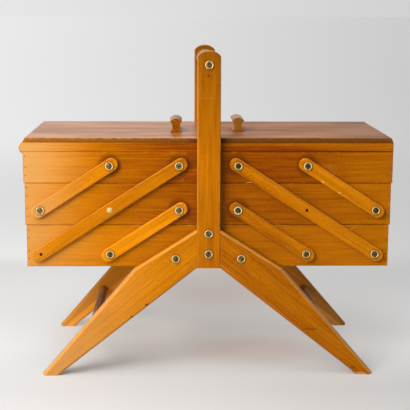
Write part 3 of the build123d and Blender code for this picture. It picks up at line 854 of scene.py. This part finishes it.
def brass(name, bloomed=None, grimy=1.0, scale=420.0, strength=0.55):
    """Old brass: pale where it is rubbed, and brown in patches and in the hollows by the wood.

    scale and strength are those of the patches, grimy is the strength of the film in the hollows, and bloomed
    the place (x, z) of a cup with a green crust. The top and bottom of each cup's ring are darker, a painted
    reflection that leaves bright crescents at its left and right.
    """
    metal = bpy.context.scene.carrier_metal
    material, t, shader, place = new_material(name)
    patches = t.noise(place, scale, 4.0, 0.6)
    film = t.span(patches, 0.42, 0.66, 0.0, strength)
    depth = t.math("ABSOLUTE", t.split(place)[1])
    past_arms = t.math("GREATER_THAN", depth, POST_FACE)
    face = t.math("ADD", t.math("MULTIPLY", past_arms, POST_FACE - ARM_FACE), ARM_FACE)
    hollow = t.span(t.math("SUBTRACT", depth, face), *CUP_HOLLOW, 0.95, 0.0)
    film = t.math("MAXIMUM", film, t.math("MULTIPLY", hollow, grimy))
    # Painted reflection: the film darkens the top and bottom of each cup's ring.
    lean = t.add("ShaderNodeAttribute", attribute_name="lean").outputs["Fac"]
    film = t.math("MAXIMUM", film, t.span(lean, 0.62, 0.95, 0.0, 0.65))
    shade = t.mix(film, rgba(metal.brass), rgba(metal.tarnish))
    solid = t.span(film, 0.0, 0.7, 0.38, 0.30)
    if bloomed is not None:
        near = near_mask(t, place, bloomed, metal.cup_radius * BLOOM_REACH)
        crust = t.math("MULTIPLY", near, t.span(t.noise(place, 900.0, 3.0), 0.38, 0.60, 0.05, 0.85))
        shade = t.mix(crust, shade, rgba(metal.patina))
        solid = t.math("MULTIPLY", solid, t.math("SUBTRACT", 1.0, crust))
    look = {
        "Base Color": shade,
        "Metallic": solid,
        "Roughness": t.span(patches, 0.3, 0.7, 0.24, 0.45),
        "Normal": t.bump(0.2, 0.0001, patches),
    }
    t.fill(shader, look)
    return material


def mixed_heads(name, nails=(), pins=(), glint=0.25):
    """Bronzed screws with painted glints, and brass nails and waxed pins at the places that have them."""
    metal = bpy.context.scene.carrier_metal
    material, t, shader, place = new_material(name)
    patches = t.noise(place, 700.0, 4.0, 0.6)
    shade = t.mix(t.span(patches, 0.35, 0.7), rgba(metal.steel, 1.3), rgba(metal.steel, 0.3))
    # Painted highlights: brass-coloured glints on the heads, as strong as glint says.
    rubbed = t.span(t.noise(place, 1100.0, 2.0), 0.50, 0.62, 0.0, glint)
    shade = t.mix(rubbed, shade, rgba(metal.brass, 0.62))
    solid = t.span(patches, 0.4, 0.8, 0.45, 0.1)
    for spots, tint, metallic in ((nails, rgba(metal.brass, 0.6), 0.25), (pins, rgba(metal.wax, 0.25), 0.0)):
        for spot in spots:
            near = near_mask(t, place, spot, metal.cup_radius)
            shade = t.mix(near, shade, tint)
            solid = t.blend(near, solid, metallic)
    look = {
        "Base Color": shade,
        "Metallic": solid,
        "Specular Tint": BRONZE_SHEEN,
        "Roughness": t.span(patches, 0.3, 0.7, 0.34, 0.55),
        "Normal": t.bump(0.3, 0.0001, patches),
    }
    t.fill(shader, look)
    return material


def nail_rust(name):
    """Rusty flat heads of the panel pins at the corners, some under dark filler."""
    metal = bpy.context.scene.carrier_metal
    material, t, shader, place = new_material(name)
    patches = t.noise(place, 900.0, 3.0)
    look = {
        "Base Color": t.mix(patches, rgba(metal.wax, 1.6), rgba(metal.wax, 0.5)),
        "Roughness": t.span(patches, 0.3, 0.7, 0.5, 0.65),
        "Normal": t.bump(0.3, 0.0001, patches),
    }
    t.fill(shader, look)
    return material


def paint(node, material):
    """Gives a CAD node its one material."""
    slots = NODES[node].data.materials
    slots.clear()
    slots.append(material)


# --- Operators ------------------------------------------------------------------
# Ages say how dark the varnish is at a piece's left, front or lower end, in its middle and at its other end.
# Seeds only tell the grain of one board from that of another.
class CARRIER_OT_trays(bpy.types.Operator):
    """Varnish the boards of the five trays and finish their floors"""

    bl_idname = "carrier.trays"
    bl_label = "Trays"

    def execute(self, context):
        ages = {
            "bottom_tray": (0.22, 0.66, 0.50),
            "left_middle_tray": (0.20, 0.66, 0.90),
            "left_top_tray": (0.18, 0.68, 0.92),
            "right_middle_tray": (0.78, 0.80, 0.52),
            "right_top_tray": (0.94, 0.88, 0.58),
        }
        # x where each tray has painted light at its left end
        painted_light_reaches = dict.fromkeys(ages, PAINTED_LIGHT_REACH)
        painted_light_reaches["left_middle_tray"] = (-0.285, -0.16)
        painted_light_reaches["bottom_tray"] = (-0.31, -0.13)
        # Painted shade and dirt round the arms' upper ends.
        halos = {"bottom_tray": []}
        for side in SIDES:
            halos[f"{side}_middle_tray"] = [PIVOTS[side]["lower_top"]]
            halos[f"{side}_top_tray"] = [PIVOTS[side]["long_top"], PIVOTS[side]["upper_top"]]
        for number, (tray, age) in enumerate(ages.items()):
            finish = {
                # joint: old dirt and painted shade in the gaps, darker on the right, away from the light
                "joint": 0.45 if tray.startswith("right") else 0.20,
                "streaks": 0.65 if tray.startswith("left") else 0.45,
                "rub": 0.35,
                "bleach": painted_light_reaches[tray],
                "halos": halos[tray],
            }
            for offset, face in enumerate(FACES):
                node = f"{tray}_{face}"
                seed = 1.7 + 3.1 * number + 11.3 * offset
                paint(node, beech(f"{node}_beech", ALONG_X, seed, age, node, **finish))
            node = f"{tray}_ends"
            paint(node, beech(f"{node}_beech", ALONG_Y, 6.4 + 2.3 * number, age, node, bleach=PAINTED_LIGHT_REACH))
            paint(f"{tray}_floor", bare_ply(f"{tray}_floor_ply", 4.0 + number))
        return {"FINISHED"}


class CARRIER_OT_stand(bpy.types.Operator):
    """Varnish the posts, legs and handle bar, and stain the stretchers"""

    bl_idname = "carrier.stand"
    bl_label = "Posts, legs and bar"

    def execute(self, context):
        finish = {
            "streaks": 0.6,
            # arris: a light line along the post's edges, wear and a painted highlight
            "arris": 0.25,
            "rub": 0.3,
            "tones": (0.98, 1.0, DARK_END),
            "cups": POST_SCREWS,
        }
        for number, face in enumerate(FACES):
            node = f"{face}_post"
            age = (0.60, 0.50, 0.50)
            paint(node, beech(f"{node}_beech", ALONG_Z, 2.9 + 5.0 * number, age, node, "z", **finish))
        legs = {                    # ages, brightness, where it has painted light, and strength of the painted highlight on its upper edge
            "front_left_leg": ((0.30, 0.30, 0.42), 1.0, (-0.27, -0.05), 0.22),
            "front_right_leg": ((0.66, 0.66, 0.62), 1.0, None, 0.32),
            # The back legs' higher brightness and painted light stand in for light that the box's shade keeps
            # from them.
            "back_left_leg": ((0.0, 0.0, 0.0), 1.45, (-0.34, -0.06), 0.30),
            "back_right_leg": ((0.20, 0.20, 0.20), 1.45, (0.30, 0.05), 0.30),
        }
        for number, (node, (age, tone, bleach, rubbed)) in enumerate(legs.items()):
            side = "left" if "left" in node else "right"
            finish = {
                "flecks": 0.3,
                "rings": 0.4 if node == "back_right_leg" else 0.09,
                "streaks": 0.65,
                "bleach": bleach,
                "tones": (tone, tone, tone),
                "cups": [LEG_SCREWS[side]],
                "ridge": (POST_FACE, LEG_MIDDLE_LEVEL, LEG_MIDDLE_SLOPE, LEG_ROUNDING, rubbed, 0.35),
            }
            turn = (0.0, -SIGN[side] * LEG_SLOPE, 0.0)
            paint(node, beech(f"{node}_beech", turn, 8.2 + 3.7 * number, age, node, **finish))
        finish = {"ages": (0.5, 0.5, 0.5), "along": "y", "tones": (0.6, 0.6, 0.6)}
        paint("handle_bar", beech("handle_bar_beech", ALONG_Y, 3.3, node="handle_bar", **finish))
        paint("leg_stretchers", dark_dowel("stretcher_stain"))
        return {"FINISHED"}


class CARRIER_OT_arms(bpy.types.Operator):
    """Varnish the twelve swing arms, each with its grain along it"""

    bl_idname = "carrier.arms"
    bl_label = "Arms"

    def execute(self, context):
        ages = {
            ("left", "long"): (0.40, 0.50, 0.56),
            ("left", "lower"): (0.10, 0.08, 0.18),
            ("left", "upper"): (0.20, 0.36, 0.46),
            ("right", "long"): (0.58, 0.44, 0.36),
            ("right", "lower"): (0.60, 0.55, 0.45),
            ("right", "upper"): (0.40, 0.36, 0.36),
        }
        for number, ((side, kind), age) in enumerate(ages.items()):
            for offset, face in enumerate(FACES):
                node = f"{side}_{face}_{kind}_arm"
                turn = (0.0, -SIGN[side] * ARM_SLOPE, 0.0)
                seed = 0.9 + 2.7 * number + 7.9 * offset
                reach, level = PIVOTS["right"][f"{kind}_bottom"]
                steep = math.tan(ARM_SLOPE)
                # A painted highlight along the bevel of the arm's upper edge.
                ridge = (ARM_FACE, level + steep * reach, steep, ARM_BEVEL, 0.12, 0.0)
                bleach = LONG_ARM_PAINTED_LIGHT_REACH if kind == "long" else PAINTED_LIGHT_REACH
                ends = ["top"] if (side, kind) == ("left", "long") else ["top", "bottom"]
                cups = [PIVOTS[side][f"{kind}_{end}"] for end in ends]
                finish = {"flecks": 0.42, "pith": 0.03, "bleach": bleach, "ridge": ridge, "cups": cups}
                paint(node, beech(f"{node}_beech", turn, seed, age, node, **finish))
        return {"FINISHED"}


class CARRIER_OT_lids(bpy.types.Operator):
    """Polish the lid panels and varnish their rails and pulls"""

    bl_idname = "carrier.lids"
    bl_label = "Lids and pulls"

    def execute(self, context):
        lid = context.scene.carrier_lid
        rails = {
            # joint: old dirt and painted shade along the rails' edges, darker on the right
            "left": {"ages": (0.24, 0.68, 1.05), "joint": 0.20},
            "right": {"ages": (0.95, 0.86, 0.44), "joint": 0.80},
        }
        pulls = {
            "left": {"ages": (0.60, 0.65, 0.60), "tones": (0.66, 0.66, 0.66)},
            "right": {"ages": (0.1, 0.1, 0.1), "tones": (0.60, 0.60, 0.60), "bleach": (-0.20, 0.25)},
        }
        panels = {
            "left": {"face": (0.92, 0.86), "edge": (0.60, 1.15), "rubbed": 0.30},
            "right": {"face": (0.88, 0.60), "edge": (0.46, 0.58), "rubbed": 0.08},
        }
        panels["left"]["polish"] = lid.left_roughness
        panels["right"]["polish"] = lid.right_roughness
        for number, side in enumerate(SIDES):
            node = f"{side}_lid_panel"
            paint(node, lid_veneer(f"{node}_veneer", node, 2.0 + 9.0 * number, **panels[side]))
            finish = {"node": f"{side}_lid_rails", "seed": 5.5 + number, "bleach": PAINTED_LIGHT_REACH, **rails[side]}
            paint(finish["node"], beech(f"{side}_lid_rails_beech", ALONG_X, **finish))
            # joint darkens the pull's outline: old dirt and painted shade, as on the boards
            finish = {"node": f"{side}_lid_pull", "seed": 1.1 + number, "joint": 0.8, **pulls[side]}
            paint(finish["node"], beech(f"{side}_lid_pull_beech", ALONG_Y, **finish))
        return {"FINISHED"}


class CARRIER_OT_cups(bpy.types.Operator):
    """Turn the brass screw cups with their rolled lips"""

    bl_idname = "carrier.cups"
    bl_label = "Screw cups"

    def execute(self, context):
        plain = brass("cup_brass")
        ring, faces = screw_cup(context.scene.carrier_metal)
        # How far each point of a cup's ring lies towards its top or bottom, for the painted reflection of the
        # brass.
        lean = np.abs(ring[:, 1]) / np.hypot(ring[:, 0], ring[:, 1])
        for node, places in cup_places().items():
            parts = []
            for x, z, depth in places:
                parts += [(facing(ring, x, z, face, depth), faces) for face in FACES]
            piece = make_piece(f"{node}_turned", parts, smooth_angle=60.0)
            own = piece.data.attributes.new("lean", "FLOAT", "POINT")
            own.data.foreach_set("value", np.tile(lean, len(parts)).astype(np.float32))
            bloomed = PIVOTS["right"]["lower_top"] if node == "right_middle_tray_cups" else None
            piece.data.materials.append(plain if bloomed is None else brass("bloomed_brass", bloomed))
            body = "base" if node == "base_cups" else node.removesuffix("_cups")
            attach(piece, body)
            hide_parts(node)
        return {"FINISHED"}


class CARRIER_OT_fittings(bpy.types.Operator):
    """Finish the screws and the hinges"""

    bl_idname = "carrier.fittings"
    bl_label = "Screws and hinges"

    def execute(self, context):
        # glint is the strength of the painted highlights on the screw heads, strongest on the left.
        plain = mixed_heads("screw_steel")
        shiny = mixed_heads("rubbed_screw_steel", glint=0.9)
        paint("base_screws", mixed_heads("base_screw_steel", pins=[PIVOTS["left"]["long_bottom"]], glint=0.5))
        for side in SIDES:
            middle = [PIVOTS[side]["long_middle"]]
            kinds = {"nails": middle, "glint": 0.9} if side == "left" else {"pins": middle}
            paint(f"{side}_middle_tray_pivots", mixed_heads(f"{side}_middle_steel", **kinds))
            paint(f"{side}_top_tray_pivots", shiny if side == "left" else plain)
        leaf_brass = brass("hinge_brass", grimy=0.0, scale=110.0, strength=0.35)
        for side in SIDES:
            paint(f"{side}_hinge_tray_leaves", leaf_brass)
            paint(f"{side}_hinge_lid_leaves", leaf_brass)
        return {"FINISHED"}


class CARRIER_OT_nails(bpy.types.Operator):
    """Drive the corner nails of the trays and lids"""

    bl_idname = "carrier.nails"
    bl_label = "Corner nails"

    def execute(self, context):
        rust = nail_rust("nail_rust")
        head, faces = nail_head(context.scene.carrier_metal)
        for body, rows in NAILS.items():
            board = f"{body}_front" if body != "base" else "bottom_tray_front"
            board = f"{body}_rails" if body.endswith("lid") else board
            low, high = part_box(board)
            parts = []
            for side, heights in rows.items():
                x = low.x + NAIL_INSET if side == "left" else high.x - NAIL_INSET
                for height in heights:
                    parts += [(facing(head, x, low.z + height, face, -low.y), faces) for face in FACES]
            piece = make_piece(f"{body}_nails", parts)
            piece.data.materials.append(rust)
            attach(piece, body)
        return {"FINISHED"}


class CARRIER_OT_studio(bpy.types.Operator):
    """Build the floor, the lamps, the room light and the camera"""

    bl_idname = "carrier.studio"
    bl_label = "Studio"

    def execute(self, context):
        studio = context.scene.carrier_studio
        build_floor(studio)
        build_room(context, studio)
        for name, (place, aim, size) in SOFTBOXES.items():
            lamp = softbox(f"{name}_softbox", place, aim, size, getattr(studio, name))
            lamp.visible_glossy = name not in WITHOUT_GLARE
        place_camera(context, studio)
        context.scene.view_settings.view_transform = "Standard"
        return {"FINISHED"}


FLOOR_HALF = 80.0                   # half the floor's width and depth
WARM_SHADE_MIDDLE = 0.14                 # y of the middle of the painted warm shade under the carrier
WARM_SHADE_REACH = (0.12, 0.30)          # how far from there it is wholly warm, and where that ends
PATCH_CORE = 0.25                   # share of a soft patch that has its full strength
PAINTED_FLOOR_PATCHES = (                   # x, y, half width, half depth and brightness of a soft patch of the floor: painted shadow where darker, painted light where brighter
    (0.075, -0.015, 0.145, 0.100, (0.87, 0.80, 0.77)),
    (0.030, 0.395, 0.200, 0.240, (0.86, 0.78, 0.75)),
    (-0.110, 0.098, 0.130, 0.105, (1.18, 1.18, 1.18)),
)
CALM_MIDDLE = (-0.42, -0.62, 0.0)   # where the key lamp would make the floor too bright to look at
CALM_REACH = (0.20, 1.10)           # how far from there it is calmed most, and where that ends
CALM_DEPTH = (-0.55, -0.27)         # y up to which it is calmed most, and where that ends
CALM_STRENGTH = 0.42
EYE_BEFORE = 1.6                    # how far in front of the middle the viewer stands
EYE_NEAREST = 0.5                   # the least distance to the viewer that the glow is worked out for
FLOOR_GLOW = (                      # y where a band of glow starts and is full, and strength left and right
    # The first two bands paint light into the carrier's shadow on the floor near it; the others bring the far
    # floor up to the backdrop.
    (-0.20, 0.04, 0.17, 0.37),
    (0.10, 0.50, 0.06, -0.12),
    (0.50, 0.66, 0.15, 0.035),
    (0.66, 3.0, 0.23, 0.09),
    (-1.2, -3.6, 0.50, 0.50),
)
GLOW_ACROSS = 0.2                   # x over the distance to the viewer, where those strengths hold
SIDE_GLOW = 0.50                    # strength of the glow far out on both sides
SIDE_ACROSS = (0.3, 1.0)            # x over the distance to the viewer, where it starts and is full
SIDE_REACH = (0.9, 2.6)             # how far from the middle it starts and is full


def floor_painted_patches(tree, place):
    """Brightness of the floor near the carrier in three channels: one, apart from its soft patches of painted
    shadow and painted light.
    """
    factors = [1.0, 1.0, 1.0]
    for x_place, y_place, half_width, half_depth, bright in PAINTED_FLOOR_PATCHES:
        shifted = tree.vector("SUBTRACT", place, (x_place, y_place, 0.0))
        x, y, _ = tree.split(tree.vector("DIVIDE", shifted, (half_width, half_depth, 1.0)))
        mask = tree.span(tree.distance(x, y), PATCH_CORE, 1.0, 1.0, 0.0)
        for channel, level in enumerate(bright):
            change = tree.math("ADD", 1.0, tree.math("MULTIPLY", mask, level - 1.0))
            factors[channel] = tree.math("MULTIPLY", factors[channel], change)
    return tree.join(*factors)


def floor_calm(tree, place, is_camera_ray):
    """Brightness of the floor as the camera sees it: one, but for the part that the key lamp lights most."""
    x, y, _ = tree.split(tree.vector("SUBTRACT", place, CALM_MIDDLE))
    near = tree.span(tree.distance(x, y), *CALM_REACH, CALM_STRENGTH, 0.0)
    before = tree.span(tree.split(place)[1], *CALM_DEPTH, 1.0, 0.0)
    seen = tree.math("MULTIPLY", tree.math("MULTIPLY", near, before), is_camera_ray)
    return tree.math("SUBTRACT", 1.0, seen)


def floor_glow(tree, place):
    """Strength of the glow that makes the far floor as bright as the backdrop.

    across is x over the distance to the viewer, so it tells how far to the left or right a place is seen.
    """
    x, y, _ = tree.split(place)
    away = tree.math("MAXIMUM", tree.math("ADD", y, EYE_BEFORE), EYE_NEAREST)
    across = tree.math("DIVIDE", x, away)
    glow = 0.0
    # The bands near the carrier are painted light over its shadow.
    for start, full, left, right in FLOOR_GLOW:
        strength = tree.ramp(across, -GLOW_ACROSS, GLOW_ACROSS, left, right)
        glow = tree.math("ADD", glow, tree.math("MULTIPLY", tree.span(y, start, full), strength))
    outward = tree.span(tree.math("ABSOLUTE", across), *SIDE_ACROSS)
    beside = tree.math("MULTIPLY", outward, tree.span(tree.math("ABSOLUTE", x), *SIDE_REACH))
    return tree.math("MAXIMUM", glow, tree.math("MULTIPLY", beside, SIDE_GLOW))


def build_floor(studio):
    """A wide flat floor, whose far parts look as bright as the backdrop."""
    half = FLOOR_HALF
    points = np.array([[-half, -half, 0.0], [half, -half, 0.0], [half, half, 0.0], [-half, half, 0.0]])
    floor = make_piece("studio_floor", [(points, [[0, 1, 2, 3]])])
    material, t, shader, place = new_material("floor_paint")
    rays = t.add("ShaderNodeLightPath").outputs
    x, y, _ = t.split(place)
    # Painted warm shade under the carrier, then soft patches of painted shadow and painted light.
    from_middle = t.distance(x, t.math("SUBTRACT", y, WARM_SHADE_MIDDLE))
    under = t.span(from_middle, *WARM_SHADE_REACH, 1.0, 0.0)
    tint = floor_painted_patches(t, place)
    shade = t.mix(1.0, t.mix(under, rgba(studio.floor), rgba(studio.under)), tint, "MULTIPLY")
    seen = t.math("MAXIMUM", rays["Is Camera Ray"], rays["Is Glossy Ray"])
    seen = t.math("MAXIMUM", seen, rays["Is Transmission Ray"])
    look = {
        "Base Color": t.toned(shade, floor_calm(t, place, rays["Is Camera Ray"])),
        "Roughness": 0.6,
        "Specular IOR Level": 0.2,
        "Emission Color": tint,
        "Emission Strength": t.math("MULTIPLY", seen, floor_glow(t, place)),
    }
    t.fill(shader, look)
    floor.data.materials.append(material)


BACKDROP = (0.84, 0.62)             # how bright the backdrop is on the left and on the right
BACKDROP_ACROSS = (-0.35, 0.35)     # x of a direction in which it has that brightness
FRONT_GLOSS = 0.08                  # share of it that gloss shows of the room on the viewer's side
FRONT_TO_BACK = (-0.2, 0.5)         # y of a direction in which gloss shows that share, and the whole backdrop


def build_room(context, studio):
    """Room light: plain on every side for the diffuse light, and a lit backdrop for the camera and gloss."""
    world = bpy.data.worlds.new("room")
    world.use_nodes = True
    context.scene.world = world
    t = Tree(world.node_tree)
    direction = t.add("ShaderNodeTexCoord").outputs["Generated"]
    x, y, _ = t.split(direction)
    rays = t.add("ShaderNodeLightPath").outputs
    backdrop = t.span(x, *BACKDROP_ACROSS, *BACKDROP)
    gloss = t.math("MULTIPLY", t.span(y, *FRONT_TO_BACK, FRONT_GLOSS, 1.0), backdrop)
    glossy = t.math("MAXIMUM", rays["Is Glossy Ray"], rays["Is Transmission Ray"])
    strength = t.blend(glossy, studio.ambient, gloss)
    strength = t.blend(rays["Is Camera Ray"], strength, backdrop)
    t.fill(world.node_tree.nodes["Background"], {"Color": (1.0, 1.0, 1.0, 1.0), "Strength": strength})


SOFTBOXES = {                       # place, aim, and width and depth
    "key": ((-0.66, -0.90, 0.86), (0.02, -0.05, 0.24), (0.75, 0.75)),
    "fill": ((-1.65, -2.30, 0.55), (0.0, 0.0, 0.22), (1.3, 0.9)),
    "overhead": ((-0.30, -0.30, 1.30), (0.0, 0.0, 0.30), (1.0, 0.8)),
}
WITHOUT_GLARE = ("key",)            # softboxes that no gloss shows


def softbox(name, place, aim, size, power):
    """A rectangular lamp at a place, turned to an aim, that the camera doesn't see."""
    lamp = bpy.data.lights.new(name, "AREA")
    lamp.shape = "RECTANGLE"
    lamp.size, lamp.size_y = size
    lamp.energy = power
    holder = bpy.data.objects.new(name, lamp)
    bpy.context.scene.collection.objects.link(holder)
    holder.location = place
    ray = np.array(aim) - np.array(place)
    holder.rotation_euler = (
        math.atan2(math.hypot(ray[0], ray[1]), -ray[2]),
        0.0,
        math.atan2(ray[1], ray[0]) - math.pi / 2,
    )
    holder.visible_camera = False
    return holder


CAMERA_PLACE = (-0.0432, -1.5882, 0.4976)
CAMERA_PITCH = 0.1754               # radians down from level
CAMERA_YAW = -0.0261
CAMERA_ROLL = 0.0041
SENSOR_WIDTH = 36.0                 # millimetres


def place_camera(context, studio):
    """The camera, a little left of the middle and looking slightly down."""
    camera = bpy.data.cameras.new("camera")
    camera.lens = studio.lens
    camera.sensor_width = SENSOR_WIDTH
    holder = bpy.data.objects.new("camera", camera)
    context.scene.collection.objects.link(holder)
    holder.matrix_world = (
        Matrix.Translation(CAMERA_PLACE)
        @ Matrix.Rotation(CAMERA_YAW, 4, "Z")
        @ Matrix.Rotation(math.pi / 2 - CAMERA_PITCH, 4, "X")
        @ Matrix.Rotation(CAMERA_ROLL, 4, "Z")
    )
    context.scene.camera = holder


class CARRIER_PT_panel(bpy.types.Panel):
    """The carrier's steps, in the order in which they run"""

    bl_idname = "CARRIER_PT_panel"
    bl_label = "Sewing carrier"
    bl_space_type = "VIEW_3D"
    bl_region_type = "UI"
    bl_category = "Carrier"

    def draw(self, context):
        for operator in OPERATORS:
            self.layout.operator(operator.bl_idname)
        for name, _ in SETTINGS:
            settings = getattr(context.scene, name)
            box = self.layout.box()
            for key in settings.__annotations__:
                box.prop(settings, key)


OPERATORS = (
    CARRIER_OT_trays,
    CARRIER_OT_stand,
    CARRIER_OT_arms,
    CARRIER_OT_lids,
    CARRIER_OT_cups,
    CARRIER_OT_fittings,
    CARRIER_OT_nails,
    CARRIER_OT_studio,
)
SETTINGS = (
    ("carrier_wood", CarrierWoodSettings),
    ("carrier_lid", CarrierLidSettings),
    ("carrier_metal", CarrierMetalSettings),
    ("carrier_studio", CarrierStudioSettings),
)


def register():
    """Registers the settings, the operators and the panel."""
    for name, settings in SETTINGS:
        bpy.utils.register_class(settings)
        setattr(bpy.types.Scene, name, PointerProperty(type=settings))
    for operator in OPERATORS:
        bpy.utils.register_class(operator)
    bpy.utils.register_class(CARRIER_PT_panel)


def unregister():
    """Takes them away again, in the opposite order."""
    bpy.utils.unregister_class(CARRIER_PT_panel)
    for operator in reversed(OPERATORS):
        bpy.utils.unregister_class(operator)
    for name, settings in reversed(SETTINGS):
        delattr(bpy.types.Scene, name)
        bpy.utils.unregister_class(settings)


def main():
    """Registers the add-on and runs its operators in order."""
    register()
    for operator in OPERATORS:
        family, name = operator.bl_idname.split(".")
        getattr(getattr(bpy.ops, family), name)()


if __name__ == "__main__":
    main()
